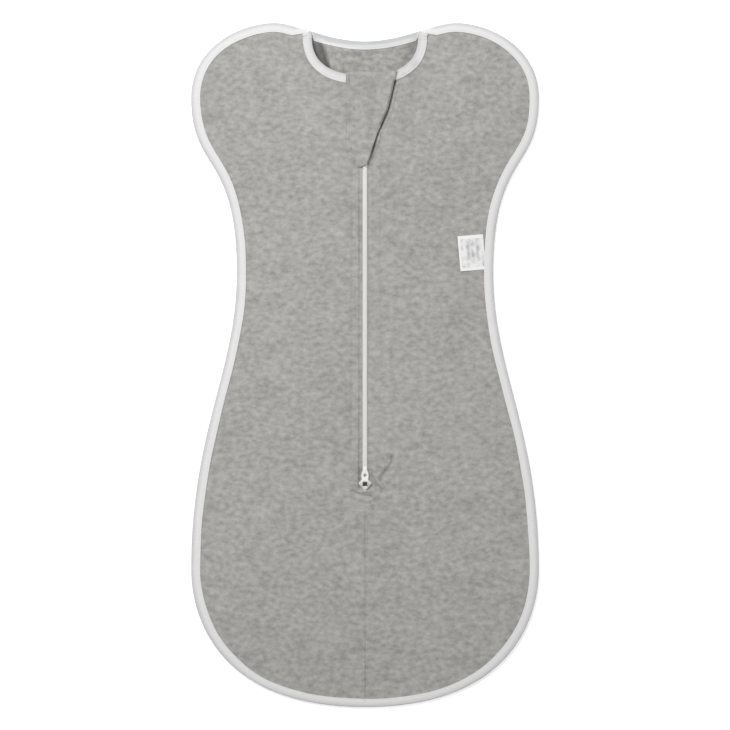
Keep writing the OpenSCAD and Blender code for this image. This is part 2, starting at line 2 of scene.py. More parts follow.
# # A baby's cocoon sleeping bag, laid flat on its back
# Two layers of heather-grey jersey are bound together with white tape. The top layer opens down
# the middle with a white coil zip, and a small cloth guard covers the upper slider under the chin.
# The packed model gives every body and joint. This lesson dresses it: each soft piece is worked out
# again as a thin curved surface and put in the same place, and the pieces off the lapels are told
# which body carries them.

# %% Load the packed model
import bmesh
import bpy
import numpy as np
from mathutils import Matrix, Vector


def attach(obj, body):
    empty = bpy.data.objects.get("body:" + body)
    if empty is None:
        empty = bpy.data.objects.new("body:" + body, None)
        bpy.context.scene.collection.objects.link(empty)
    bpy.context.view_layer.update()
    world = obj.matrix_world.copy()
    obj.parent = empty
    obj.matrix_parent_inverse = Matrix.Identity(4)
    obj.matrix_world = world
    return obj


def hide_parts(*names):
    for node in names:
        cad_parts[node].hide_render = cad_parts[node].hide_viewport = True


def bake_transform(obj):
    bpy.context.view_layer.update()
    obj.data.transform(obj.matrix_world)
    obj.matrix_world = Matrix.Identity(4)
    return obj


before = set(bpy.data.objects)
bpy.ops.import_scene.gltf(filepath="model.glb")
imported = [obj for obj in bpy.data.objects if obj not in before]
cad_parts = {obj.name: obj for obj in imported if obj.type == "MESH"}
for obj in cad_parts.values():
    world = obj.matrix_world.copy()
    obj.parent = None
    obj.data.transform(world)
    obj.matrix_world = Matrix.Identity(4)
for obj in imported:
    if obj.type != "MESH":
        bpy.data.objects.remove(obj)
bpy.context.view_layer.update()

# %% [markdown]
# ## Working in millimetres
# A sewing pattern is drawn in millimetres, so the shapes below are too. One helper turns them into
# metres when a mesh is made. A surface is a grid of points, and Blender gets the whole array at once
# with `foreach_set`, which is far quicker than adding faces one by one.

# %% A mesh from arrays
MM = 0.001


def quad_mesh(name, points, quads, uv=None):
    """Makes an object from points in millimetres and faces of four corners; uv holds one pair per point."""
    mesh = bpy.data.meshes.new(name)
    mesh.vertices.add(len(points))
    mesh.vertices.foreach_set("co", (np.asarray(points, np.float32) * MM).ravel())
    mesh.loops.add(4 * len(quads))
    mesh.loops.foreach_set("vertex_index", np.asarray(quads, np.int32).ravel())
    mesh.polygons.add(len(quads))
    mesh.polygons.foreach_set("loop_start", np.arange(0, 4 * len(quads), 4, dtype=np.int32))
    mesh.polygons.foreach_set("use_smooth", np.ones(len(quads), bool))
    mesh.update(calc_edges=True)
    if uv is not None:
        layer = mesh.uv_layers.new(name="Along")
        layer.data.foreach_set("uv", np.asarray(uv, np.float32)[np.asarray(quads).ravel()].ravel())
    mesh.validate()
    made = bpy.data.objects.new(name, mesh)
    bpy.context.scene.collection.objects.link(made)
    return made


def grid_quads(rows, columns, around=False):
    """Corners of the faces of a rows x columns grid; around joins the last column to the first."""
    index = np.arange(rows * columns).reshape(rows, columns)
    if around:
        index = np.concatenate([index, index[:, :1]], axis=1)
    corners = [index[:-1, :-1], index[1:, :-1], index[1:, 1:], index[:-1, 1:]]
    return np.stack([c.ravel() for c in corners], axis=1)


def cloth_shell(name, top, low, uv=None):
    """Two equal grids of points become one closed shell: the outer face, the inner face turned over,
    and a wall between their rims."""
    rows, columns = top.shape[:2]
    face = grid_quads(rows, columns)
    index = np.arange(rows * columns).reshape(rows, columns)
    rim = np.concatenate([index[0, :-1], index[:-1, -1], index[-1, :0:-1], index[:0:-1, 0]])
    after, shift = np.roll(rim, -1), rows * columns
    wall = np.stack([rim, rim + shift, after + shift, after], axis=1)
    quads = np.concatenate([face, face[:, ::-1] + shift, wall])
    if uv is not None:
        uv = np.concatenate([uv.reshape(-1, 2)] * 2)
    made = quad_mesh(name, np.concatenate([top.reshape(-1, 3), low.reshape(-1, 3)]), quads, uv)
    face_up(made)
    return made


def face_up(made):
    """Turns the faces outwards if the closed shell's signed volume is negative."""
    mesh = made.data
    mesh.calc_loop_triangles()
    corners = np.zeros(len(mesh.loop_triangles) * 3, np.int32)
    mesh.loop_triangles.foreach_get("vertices", corners)
    points = np.zeros(len(mesh.vertices) * 3)
    mesh.vertices.foreach_get("co", points)
    a, b, c = points.reshape(-1, 3)[corners.reshape(-1, 3)].transpose(1, 0, 2)
    if np.einsum("ij,ij->i", a, np.cross(b, c)).sum() < 0:
        mesh.flip_normals()


print("grid of 3 x 4 points has", len(grid_quads(3, 4)), "faces")

# %% [markdown]
# ## The outline
# The bag's edge is a chain of cubic Bezier curves, drawn like a paper pattern: hem, hip, waist, arm
# wing and shoulder. They use the same corner points as the construction, so the cloth lands inside
# the packed solids. Resampling by length spaces the points evenly along each curve.

# %% Curves of the pattern
HEM, HIP, WAIST = (0, -300), (152.5, -180), (112.5, 81)
WING, WING_TOP, SHOULDER, BACK_NECK = (152.5, 234), (80, 300), (48, 293), (0, 284)
EDGE_RUNS = [
    [HEM, (140, -300), (152.5, -208), HIP],
    [HIP, (152.5, -56), (112.5, -5), WAIST],
    [WAIST, (112.5, 187), (152.5, 169), WING],
    [WING, (152.5, 282), (105, 300), WING_TOP],
    [WING_TOP, (68, 300), (56, 294.5), SHOULDER],
]
BACK_NECK_RUN = [SHOULDER, (38, 290), (20, 284), BACK_NECK]


def bezier(corners, t):
    """Cubic Bezier curve: four corners weighted by the powers of t and 1 - t."""
    p, t = np.asarray(corners, float), np.asarray(t, float)[:, None]
    return (1 - t) ** 3 * p[0] + 3 * t * (1 - t) ** 2 * p[1] + 3 * t * t * (1 - t) * p[2] + t ** 3 * p[3]


def lengths(line):
    """Distance along a line at each of its points."""
    return np.concatenate([[0], np.cumsum(np.linalg.norm(np.diff(line, axis=0), axis=1))])


def at_length(line, where):
    """Points of a line at the given distances along it."""
    run = lengths(line)
    return np.stack([np.interp(where, run, line[:, k]) for k in range(line.shape[1])], axis=1)


def evenly(line, n):
    """The line again as n points, equally far apart."""
    return at_length(line, np.linspace(0, lengths(line)[-1], n))


def smooth(low, high, x):
    """Eases from 0 at low to 1 at high."""
    t = np.clip((x - low) / (high - low), 0, 1)
    return t * t * (3 - 2 * t)


def sideways(line):
    """Unit vectors square to a plan line, pointing to its left."""
    run = np.gradient(line, axis=0)
    run /= np.linalg.norm(run, axis=1)[:, None]
    return np.stack([-run[:, 1], run[:, 0]], axis=1)


edge_runs = [bezier(run, np.linspace(0, 1, 121)) for run in EDGE_RUNS]
edge = np.concatenate([edge_runs[0]] + [run[1:] for run in edge_runs[1:]])
edge_length = lengths(edge)[-1]
print("half of the edge is", round(edge_length), "mm long")

# %% [markdown]
# ## The front neckline
# In plan the front neckline is a superellipse, squarer than an ellipse: flat across the chest, then
# turning up to the shoulder. `neck_at(angle)` walks it from the zip (0) to the shoulder (90). An ellipse
# would turn up too early, and one formula is easier to keep smooth than several Bezier curves.

# %% Neckline curve
NECK_A, NECK_SIDE_Y, NECK_DEPTH, NECK_POWER = 46.5, 289.0, 35.5, 2.5


def neck_at(angle):
    """Superellipse: x is a sine and y a cosine of the angle, each raised to 2 over the power."""
    a = np.radians(np.asarray(angle, float))
    return np.stack([NECK_A * np.sin(a) ** (2 / NECK_POWER),
                     NECK_SIDE_Y - NECK_DEPTH * np.cos(a) ** (2 / NECK_POWER)], axis=1)


def angle_at(x):
    """The neckline's angle at a distance x from the centre line."""
    return np.degrees(np.arcsin((x / NECK_A) ** (NECK_POWER / 2)))


neckline = np.concatenate([neck_at(np.linspace(angle_at(2.2), 90, 200)), [[47.2, 291.0], [47.8, 292.6]]])
neckline = evenly(neckline, 220)
print("front neckline runs from", neckline[0].round(1), "to", neckline[-1].round(1))

# %% [markdown]
# ## How high the front lies
# An empty bag lies nearly flat, a little fuller down the middle where the zip holds it up. One
# function gives the height of the top cloth at any place: a dome that falls from the middle to the
# bound edge, a shallow valley where the cloth's hem lies on the zip tape beside the coil, a soft step
# over the tape's edge, a pressed seam below the zip, and the slack creases of cloth that was smoothed
# by hand. Everything on the front asks this function, so stitches and tape stay on the cloth.
# A cloth simulation could drape the front too. But this bag was smoothed flat, its creases are few and
# known, and the heights beside the zip have to be exact, so a formula suits it better.

# %% Levels, distances and ripples
CROWN_Z, EDGE_Z, FULLNESS = 13.4, 3.1, 2.4
ZIP_TOP_Y, COIL_LOW_Y, SEAM_TOP_Y, CROWN_LOW_Y = 246.0, -108.9, -110.0, -165
HEM_Z, HEM_EDGE_X, TAPE_EDGE_X = 12.33, 4.7, 13.4
TAPE_REACH_X, TAPE_REACH_Y = 13.6, -118


def right_half(p):
    """The same points with x made positive, as the bag is the same on both sides."""
    return np.stack([np.abs(p[..., 0]), p[..., 1]], axis=-1)


def distance_to(line, points, chunk=4000):
    """Distance of each point from a line, as the least distance to its straight pieces."""
    a, b = line[:-1], line[1:]
    ab = b - a
    found = np.empty(len(points))
    for k in range(0, len(points), chunk):
        p = points[k:k + chunk, None, :]
        t = np.clip(((p - a) * ab).sum(2) / ((ab * ab).sum(1) + 1e-9), 0, 1)
        found[k:k + chunk] = np.linalg.norm(p - a - t[..., None] * ab, axis=2).min(1)
    return found


def ripples(points, waves, low, high, seed):
    """Sum of sine waves with set directions and lengths between low and high millimetres, about -1 to 1."""
    r = np.random.default_rng(seed)
    turn, length, phase = r.uniform(0, np.pi, waves), r.uniform(low, high, waves), r.uniform(0, 6.28, waves)
    along = points[..., :1] * np.cos(turn) + points[..., 1:2] * np.sin(turn)
    return np.sin(6.283 * along / length + phase).sum(-1) / np.sqrt(waves * 2)


print("distance of (3, 4) from the x axis:", distance_to(np.array([[-9.0, 0], [9, 0]]), np.array([[3.0, 4]])))

# %% Creases of the front
# The zip guard's free edge, from the neckline to its tip. The cloth falls away beside it.
GUARD_EDGE = [(27.4, 256.0), (27.0, 253.5), (25.6, 246.7), (22.9, 234.8), (20.1, 223.4), (16.3, 214.6),
              (10.9, 203.3), (6.8, 191.2), (4.2, 182.5), (1.1, 174.6), (-4, 172.6)]

# Each crease: its line in plan, its depth and its half width. A negative depth is a ridge.
CREASES = [
    # beside and below the lower slider
    ([(23.6, -80), (23.3, -86), (20.8, -90.5), (17.5, -94), (14.6, -98), (13.6, -101)], 1.9, 1.25),
    ([(28, -80), (28.3, -88), (24.6, -95), (19.8, -101)], -1.2, 2.2),
    ([(18, -80), (18.2, -87), (14, -92.5), (10.6, -97)], -1.1, 1.8),
    ([(7.6, -93.5), (9.6, -95.4)], 1.5, 1.0),
    ([(5.4, -97.6), (7.0, -101.6), (9.4, -105.6), (13.2, -109), (14.6, -111.5)], 2.4, 1.25),
    ([(8.6, -97), (10.6, -101.6), (15.6, -106.4)], -1.5, 1.5),
    ([(-6.9, -84), (-7.0, -93), (-7.6, -101)], -1.3, 1.3),
    ([(-11, -110.6), (-6, -112.6), (0, -115), (5, -115.4)], 1.35, 1.3),
    ([(-11, -114.4), (-4, -117.4), (4, -119)], -0.9, 1.7),
    ([(8.4, -116), (14, -115.4), (22, -114.5)], -0.8, 1.7),
    ([(-8, -96), (-13, -104), (-22, -109)], 0.8, 1.9),
    ([(24, -72), (36, -76), (50, -72)], 0.9, 2.3),
    # slack on the chest and at the right of the neck
    ([(34, 252), (44, 246), (55, 240)], 1.3, 2.8),
    ([(46, 262), (56, 250), (60, 236)], 1.2, 3.2),
    ([(52, 264), (64, 254), (72, 242)], -0.9, 4.0),
    ([(28, 232), (40, 224), (52, 220)], 0.8, 3.2),
    ([(37, 264), (35, 250), (31, 236), (26, 222)], -1.9, 8.5),
    ([(-40, 262), (-54, 252), (-66, 246)], 0.4, 4.0),
    # soft pulls from the waist and the hips
    ([(104, 150), (92, 146), (80, 146)], 0.45, 4.0),
    ([(-104, 152), (-90, 148), (-76, 149)], 0.45, 4.0),
    ([(-118, 60), (-98, 52), (-80, 50)], 0.4, 5.0),
    ([(118, 40), (96, 30), (76, 30)], 0.4, 5.0),
    ([(-60, -215), (-30, -226), (-4, -230)], 0.4, 6.0),
    ([(70, -200), (36, -214), (6, -216)], 0.4, 6.0),
    # along the zip: the hem's groove and ridge on the left, and a shallow pair on the right
    ([(-10.4, 172), (-10.2, 60), (-10.8, -50), (-11.8, -82)], 1.3, 2.1),
    ([(-5.9, 172), (-5.9, -92)], -0.35, 1.3),
    ([(14.6, 172), (13.8, 40)], 0.3, 1.3),
    ([(9.8, 172), (9.8, -86)], -0.3, 1.5),
    # where the care label presses on the front
    ([(79.6, 113.6), (82.4, 81)], 0.8, 1.0),
    ([(79.8, 113.9), (92, 115), (104, 116)], 0.7, 1.0),
    # under the guard's free edge, shallow where the neck binding crosses it
    ([(x + 0.1, y) for x, y in GUARD_EDGE[2:]], 4.0, 1.2),
    ([(x + 0.1, y) for x, y in GUARD_EDGE[:2]], 0.9, 1.2),
    ([(x + 2.7, y - 0.5) for x, y in GUARD_EDGE[2:]], -1.2, 1.1),
]
print("creases and ridges:", len(CREASES))


# %% Height of the front cloth
def front_height(xy):
    """Height of the top face of the front cloth in millimetres, at points (x, y) in millimetres: a dome
    of the share of the way in from the edge, plus ripples, less the creases, then the zip and the seam."""
    shape = xy.shape[:-1]
    p = xy.reshape(-1, 2)
    right = right_half(p)
    to_edge = distance_to(edge[::6], right)
    past_zip = np.maximum(0, p[:, 1] - ZIP_TOP_Y) + np.maximum(0, CROWN_LOW_Y - p[:, 1])
    to_middle = np.hypot(right[:, 0], past_zip)
    share = to_edge / (to_edge + to_middle + 1e-6)
    z = EDGE_Z + (CROWN_Z - EDGE_Z) * (1 - (1 - share) ** FULLNESS)
    # fuller where the shoulder's seams meet
    z += 1.1 * np.exp(-((right[:, 0] - 46) ** 2 + (p[:, 1] - 286) ** 2) / 13 ** 2)
    # slack cloth: broad waves, then short ones, none of them at the edge
    inside = smooth(2, 26, to_edge)
    z += inside * (0.4 * ripples(p, 14, 60, 150, 3) + 0.2 * ripples(p, 20, 18, 44, 4))
    z += 0.05 * smooth(1, 8, to_edge) * ripples(p, 30, 6, 14, 5)
    for line, depth, width in CREASES:
        away = distance_to(evenly(np.array(line, float), 24), p)
        z -= depth * np.exp(-(away / width) ** 2)
    # the valley beside the coil, and the step over the tape's edge
    by_zip = smooth(SEAM_TOP_Y, COIL_LOW_Y, p[:, 1])
    valley = 1 - smooth(HEM_EDGE_X, np.where(p[:, 0] < 0, 6.3, 9.5), right[:, 0])
    z += by_zip * valley * (HEM_Z - z)
    z += by_zip * 0.15 * smooth(9.5, 11.5, right[:, 0]) * (1 - smooth(12.2, TAPE_EDGE_X + 1.2, right[:, 0]))
    # the pressed seam below the zip, with a soft rim on its right, and the rise where the zip ends
    seam = smooth(-114, -140, p[:, 1]) * np.exp(-((p[:, 0] - 0.8) / 1.3) ** 2)
    z -= seam * (1.15 + 0.1 * np.sin(p[:, 1] * 1.1))
    z += smooth(-114, -150, p[:, 1]) * 0.25 * np.exp(-((p[:, 0] - 3.6) / 1.5) ** 2)
    z += (1 - by_zip) * 1.2 * np.exp(-((p[:, 1] + 110.2) / 2.2) ** 2) * (1 - smooth(3.9, 8.0, right[:, 0]))
    # the cloth never sinks into the tape
    over_tape = (right[:, 0] < TAPE_REACH_X) & (p[:, 1] > TAPE_REACH_Y)
    z = np.where(over_tape, np.maximum(z, HEM_Z), z)
    return z.reshape(shape)


print("height at the middle, beside the zip and at the edge:",
      front_height(np.array([[30.0, 0], [3, 0], [150, -180]])).round(1))

# %% [markdown]
# ## Front cloth, left and right
# Each front is one piece of jersey, cut along the middle, the neckline and the edge. Its grid fans
# out from the lower end of the zip: every row is a straight line in plan from the middle to the edge,
# with more columns near the zip, where the cloth is turned under and stitched to the zip tape.
# The cloth is 0.8 mm thick and thins to one pressed layer beside the coil, so the sliders can pass.
# A flat face cut to the outline would be quicker, but only a grid bends cleanly when a lapel opens.

# %% Plan of the front
CLOTH, TAPE_TOP, TAPE_LOW, COIL_X = 0.8, 12.0, 11.6, 2.3
# The cloth stops this far inside the bound edge, and this far from the middle below the zip.
RIM_IN, MIDDLE_GAP = 0.9, 0.012


def edge_length_at(x, y):
    """Length along the edge to its point nearest to (x, y)."""
    return lengths(edge)[np.argmin(np.hypot(edge[:, 0] - x, edge[:, 1] - y))]


def front_plan(rows=400, near=50, far=58):
    """Plan grid of the right front: straight rows from the inner line to the edge. Pairs of points, one
    on each line, set how the rows fan out, and the rows between them are shared by length."""
    rise = np.linspace(-119, -108.6, 40)
    start = np.stack([MIDDLE_GAP + (COIL_X - MIDDLE_GAP) * smooth(-111.4, -108.8, rise), rise], axis=1)
    inner = np.concatenate([start, [(COIL_X, -90), (COIL_X, 0), (COIL_X, 120), (COIL_X, 252)], neckline[1:]])
    inner = evenly(inner, 2000)
    pairs = [((0, -119), (0, -300)), ((0.02, -113), (100, -277)), ((2.1, -108.8), (140, -240)),
             ((2.4, -98), (152.5, -190)), ((2.4, 60), (113, 60)), ((2.4, 190), (140, 195)),
             ((2.4, 235), (152.5, 240)), ((2.4, 253.4), (148, 268)), ((20, 254.7), (125, 289)),
             ((34, 261), (95, 298)), ((43, 271), (70, 298)), ((46.5, 286), (53, 294)),
             ((47.8, 292.6), (48.5, 293.2))]
    run = lengths(inner)
    inner_keys = [run[np.argmin(np.hypot(inner[:, 0] - a[0], inner[:, 1] - a[1]))] for a, b in pairs]
    outer_keys = [edge_length_at(*b) for a, b in pairs]
    outer_at = np.linspace(outer_keys[0], outer_keys[-1], rows)
    inner_at = np.interp(outer_at, outer_keys, inner_keys)
    soft = np.convolve(np.pad(inner_at, 10, mode="edge"), np.ones(21) / 21, mode="valid")
    calm = smooth(0, 24, np.minimum(np.arange(rows), np.arange(rows)[::-1]))
    a = at_length(inner, inner_at + calm * (soft - inner_at))
    b = at_length(edge + RIM_IN * sideways(edge), outer_at)
    b[0] = (MIDDLE_GAP, HEM[1] + RIM_IN)
    reach = np.linalg.norm(b - a, axis=1)[:, None]
    held = np.where(a[:, 1:] > 253.3, 0.7, 0.0)
    a = a + (b - a) / reach * np.minimum(held, 0.3 * reach)
    first = np.minimum(29 / reach, 0.45)
    beyond = first + (1 - first) * np.linspace(0, 1, far + 1)[1:]
    s = np.concatenate([first * np.linspace(0, 1, near), beyond], axis=1)
    return a[:, None] + (b - a)[:, None] * s[..., None]


print("points in the plan of one front:", front_plan().shape[:2])


# %% Front cloth
def front_low(xy, top):
    """Underside of the front cloth: one thickness below the top, but never into the zip tape."""
    over_tape = (np.abs(xy[..., 0]) < TAPE_REACH_X) & (xy[..., 1] > TAPE_REACH_Y)
    return np.where(over_tape, np.maximum(top - CLOTH, TAPE_TOP + 0.05), top - CLOTH)


def with_height(xy, z):
    """Points in plan and their heights become points in space."""
    return np.concatenate([xy, z[..., None]], axis=-1)


def area_of(grid):
    """Area of a grid of points, in square metres: the sum of its cells as pairs of triangles."""
    a, b, c, d = grid[:-1, :-1], grid[1:, :-1], grid[1:, 1:], grid[:-1, 1:]
    half = np.linalg.norm(np.cross(b - a, c - a), axis=-1) + np.linalg.norm(np.cross(c - a, d - a), axis=-1)
    return float(half.sum()) / 2 * 1e-6


fronts, front_area = {}, {}
for side, sign in (("left", -1), ("right", 1)):
    plan = front_plan() * [sign, 1]
    top = with_height(plan, front_height(plan))
    fronts[side] = cloth_shell(f"front_cloth_{side}", top, with_height(plan, front_low(plan, top[..., 2])))
    front_area[side] = area_of(top)
print("front cloth:", {k: len(o.data.vertices) for k, o in fronts.items()}, "points, area m2",
      {k: round(a, 4) for k, a in front_area.items()})

# %% [markdown]
# ## Back cloth
# The back lies on the table, so it's nearly flat. Its rim steps up where the binding's lower leg
# passes under it. The grid runs round the whole outline and closes on a line down the middle, where
# the two sides share their points. Small slack creases show inside the neck, with one deep tuck beside
# the left neck binding. Two mirrored halves would leave a seam, which this back doesn't have.

# %% Height of the back cloth
NECK_CREASES = [
    ([(-38.5, 284), (-36.6, 279), (-33.8, 270), (-31.4, 259)], 0.5, 0.9),
    ([(-33, 284), (-31, 272), (-29, 260)], -0.7, 2.4),
    ([(-20, 276), (-8, 272.5), (6, 273.5)], -0.45, 2.0),
    ([(-16, 268), (2, 264), (20, 266)], -0.4, 2.2),
    ([(12, 278), (24, 276), (36, 270)], -0.45, 2.4),
    ([(28, 286), (34, 276), (37, 266)], 0.4, 1.6),
]


def past_foot(p):
    """How far points are to the right of the foot of the tuck beside the left neck binding."""
    return p[:, 0] - np.interp(p[:, 1], [256, 260, 270, 279, 284], [-30.6, -31.6, -33.9, -36.4, -38.2])


def tuck_shade(xy):
    """How much painted shade darkens the colour: about 1 in the bottom of that tuck, most at its two sides,
    and 0 elsewhere.
    """
    p = xy.reshape(-1, 2)
    away = past_foot(p)
    inside = (1 - smooth(-0.9, 0.5, away)) * smooth(-50, -45, p[:, 0])
    inside *= 0.72 + 0.4 * np.exp(-((away + 1.3) / 1.0) ** 2) + 0.3 * smooth(-6, -9, away)
    return inside * smooth(250, 256, p[:, 1]) * (1 - smooth(282, 285, p[:, 1]))


def back_height(xy):
    """Height of the top of the back cloth: flat on the table, raised at the rim, creased in the neck."""
    shape = xy.shape[:-1]
    p = xy.reshape(-1, 2)
    right = right_half(p)
    rim = np.concatenate([edge[::6], bezier(BACK_NECK_RUN, np.linspace(0, 1, 30))])
    to_rim = distance_to(rim, right)
    z = 1.0 + 0.9 * (1 - smooth(8.6, 12, to_rim))
    z += 0.12 * smooth(10, 30, to_rim) * (1 + ripples(p, 12, 24, 60, 11))
    fade = smooth(8, 12, to_rim)
    for line, depth, width in NECK_CREASES:
        z -= fade * depth * np.exp(-(distance_to(evenly(np.array(line, float), 20), p) / width) ** 2)
    away = past_foot(p)
    tuck = 7.6 * smooth(-0.6, 2.0, away) * (1 - smooth(2.5, 34, away))
    z += tuck * smooth(248, 256, p[:, 1]) * smooth(6.0, 10.5, to_rim)
    return z.reshape(shape)


print("back, beside the tuck and far from it:", back_height(np.array([[-28.0, 270], [0, 0]])).round(1))


# %% Back cloth
def back_plan(rows=300, columns=46):
    """Plan of half the back: from a line down the middle out to the rim, hem to shoulder to neck."""
    half = np.concatenate([edge, bezier(BACK_NECK_RUN, np.linspace(0, 1, 60))[1:]])
    b = evenly(half, rows)
    inset = RIM_IN * sideways(b)
    inset[0], inset[-1] = (0, RIM_IN), (0, -RIM_IN)
    b = b + inset
    b[0, 0] = b[-1, 0] = 0
    a = np.stack([np.zeros(rows), np.clip(b[:, 1] * 0.88, -225, 236)], axis=1)
    return a[:, None] + (b - a)[:, None] * np.linspace(0, 1, columns)[:, None] ** 0.9


half = back_plan()
plan = np.concatenate([half, half[-2:0:-1] * [-1, 1]])
top = with_height(plan, back_height(plan))
low = with_height(plan, np.maximum(top[..., 2] - 0.9, 0.02))
rows, columns = plan.shape[:2]
ring = np.arange(rows * columns).reshape(rows, columns)
ring = np.concatenate([ring, ring[:1]])
face = np.stack([c.ravel() for c in (ring[:-1, :-1], ring[:-1, 1:], ring[1:, 1:], ring[1:, :-1])], axis=1)
rim, after = ring[:-1, -1], ring[1:, -1]
wall = np.stack([rim, rim + rows * columns, after + rows * columns, after], axis=1)
back = quad_mesh("back_cloth", np.concatenate([top.reshape(-1, 3), low.reshape(-1, 3)]),
                 np.concatenate([face, face[:, ::-1] + rows * columns, wall]))
# Painted shade: the tuck's mask is stored with the back's points and darkens the colour where the tuck's
# shadow falls.
shade = back.data.attributes.new("tuck", "FLOAT", "POINT")
shade.data.foreach_set("value", np.concatenate([tuck_shade(plan), np.zeros(rows * columns)]))


def weld(made, near=0.00002):
    """Joins points that lie in one place, so that a surface that closes on itself is one skin."""
    work = bmesh.new()
    work.from_mesh(made.data)
    bmesh.ops.remove_doubles(work, verts=work.verts, dist=near)
    work.to_mesh(made.data)
    work.free()
    face_up(made)


weld(back)

# %% [markdown]
# ## Folded tape
# Binding is a tape folded over a raw edge, with one leg above the cloth and one below. One builder
# makes them all: it sweeps the folded section along the fold line. The upper leg is slightly padded,
# dips along its line of stitches, and puckers a little between them. The same builder makes the
# care label, which is a folded tape too. A curve with a bevel could carry a section as well, but it
# can't rest its two legs on two different surfaces.

# %% Folded tape builder
PITCH, STITCH_IN = 2.8, 1.5


def folded_tape(name, fold, width, upper, lower, thick=0.45, bend=1.1, pad=0.2, groove=0.2, legs=14, turn=9):
    """A tape folded along the line fold (cloth on its left). upper and lower give the height of the
    inner faces of its legs at points in plan. Returns the object, its upper face and its area."""
    n = len(fold)
    into = sideways(fold)
    width = np.broadcast_to(np.asarray(width, float), n)
    bend = np.minimum(bend, 0.35 * width)[:, None]
    u = lengths(fold)[:, None]
    share = np.linspace(1, 0, legs)[None]
    d = bend + (width[:, None] - bend) * share

    def place(d):
        """Plan points at distances d in from the fold line."""
        return fold[:, None] + into[:, None] * d[..., None]

    # the upper leg: padding, the dip along the stitches, and the puckers between them
    leg = place(d)
    seam = np.exp(-((width[:, None] - STITCH_IN - d) / 0.55) ** 2)
    z_upper, z_lower = upper(leg), lower(leg)
    puff = pad * np.sin(np.pi * np.clip(share, 0.02, 0.98)) ** 0.6 * np.minimum(1, width[:, None] / 6)
    pucker = 0.05 * np.sin(6.283 * u / PITCH) * np.exp(-((width[:, None] - STITCH_IN - d) / 1.6) ** 2)
    high = z_upper + thick + puff - groove * seam + pucker
    deep = z_lower - thick
    # the turn from the upper leg to the lower one, half an ellipse outside and one inside
    angle = np.radians(np.linspace(90, -90, turn + 2)[1:-1])[None]
    mid, half = (high[:, -1:] + deep[:, -1:]) / 2, (high[:, -1:] - deep[:, -1:]) / 2
    outer_turn = with_height(place(bend * (1 - np.cos(angle))), mid + half * np.sin(angle))
    inner_half = (z_upper[:, -1:] - z_lower[:, -1:]) / 2
    inner_mid = (z_upper[:, -1:] + z_lower[:, -1:]) / 2
    spare = np.maximum(bend - thick, 0.1)
    inner_turn = with_height(place(bend - spare * np.cos(angle)), inner_mid + inner_half * np.sin(angle))
    upper_leg, lower_leg = with_height(leg, high), with_height(leg, deep)
    outer = np.concatenate([upper_leg, outer_turn, lower_leg[:, ::-1]], axis=1)
    upper_leg, lower_leg = with_height(leg, z_upper), with_height(leg, z_lower)
    inner = np.concatenate([upper_leg, inner_turn, lower_leg[:, ::-1]], axis=1)
    # rings along the tape, closed at both ends, with lengths along and across kept for the finish
    m = outer.shape[1]
    ring = np.concatenate([outer, inner[:, ::-1]], axis=1)
    steps = np.linalg.norm(np.diff(outer, axis=1), axis=2)
    across = np.concatenate([np.zeros((n, 1)), np.cumsum(steps, axis=1)], axis=1)
    uv = np.stack([np.broadcast_to(u, (n, 2 * m)), np.concatenate([across, across[:, ::-1]], axis=1)], axis=2)
    quads = grid_quads(n, 2 * m, around=True)
    k = np.arange(m - 1)
    cap = np.stack([k, k + 1, 2 * m - 2 - k, 2 * m - 1 - k], axis=1)
    quads = np.concatenate([quads, cap, cap[:, ::-1] + (n - 1) * 2 * m])
    made = quad_mesh(name, ring.reshape(-1, 3), quads, uv.reshape(-1, 2))
    face_up(made)
    return made, outer[:, :legs], area_of(outer)


print("the section of a tape has", 2 * (2 * 14 + 9), "points")


# %% Stitches
def stitch_line(name, tops, from_end=STITCH_IN):
    """Stitches along a tape: each is a small spindle laid on the tape's upper face, from_end
    millimetres in from its free end."""
    away = np.linalg.norm(np.diff(tops, axis=1), axis=2)
    run = np.concatenate([np.zeros((len(tops), 1)), np.cumsum(away, axis=1)], axis=1)
    row = np.arange(len(tops))
    before = np.clip((run <= from_end).sum(axis=1) - 1, 0, run.shape[1] - 2)
    share = (from_end - run[row, before]) / (run[row, before + 1] - run[row, before])
    at = tops[row, before] + share[:, None] * (tops[row, before + 1] - tops[row, before])
    return spindles(name, at)


def spindles(name, line, wide=0.42, high=0.26, lift=0.02, long=2.1):
    """Small spindles in a row along a line in space, one per pitch of the stitches: each is five rings of
    six points, widest in the middle."""
    reach = lengths(line)[-1]
    count = max(1, int(reach / PITCH))
    middle = (np.arange(count) + 0.5) * PITCH
    centre = at_length(line, middle)
    tip = at_length(line, np.minimum(middle + 0.5, reach))
    run = tip - centre
    run /= np.linalg.norm(run, axis=1)[:, None] + 1e-9
    aside = np.stack([-run[:, 1], run[:, 0], 0 * run[:, 0]], axis=1)
    aside /= np.linalg.norm(aside, axis=1)[:, None] + 1e-9
    t = np.array([-0.5, -0.34, 0, 0.34, 0.5])
    size = np.array([0.18, 0.8, 1, 0.8, 0.18])
    a = np.radians(np.arange(0, 360, 60))
    points = (centre[:, None, None] + run[:, None, None] * (t * long)[None, :, None, None]
              + aside[:, None, None] * (size[:, None] * np.cos(a) * wide / 2)[None, ..., None]
              + np.array([0, 0, 1]) * (lift + size[:, None] * np.sin(a) * high / 2)[None, ..., None])
    ends = [[0, 1, 2, 3], [0, 3, 4, 5], [27, 26, 25, 24], [29, 28, 27, 24]]
    one = np.concatenate([grid_quads(5, 6, around=True), ends])
    quads = (one[None] + 30 * np.arange(count)[:, None, None]).reshape(-1, 4)
    made = quad_mesh(name, points.reshape(-1, 3), quads)
    face_up(made)
    return made


print("stitches in 100 mm:", int(100 / PITCH))

# %% [markdown]
# ## Binding round the edge
# One long tape runs from the left shoulder, down round the hem and up to the right shoulder. Fabric
# tape stretched round a curve never lies quite even, so its width wanders by a fraction of a
# millimetre. Near the shoulders it narrows, where the neck binding is sewn over it.

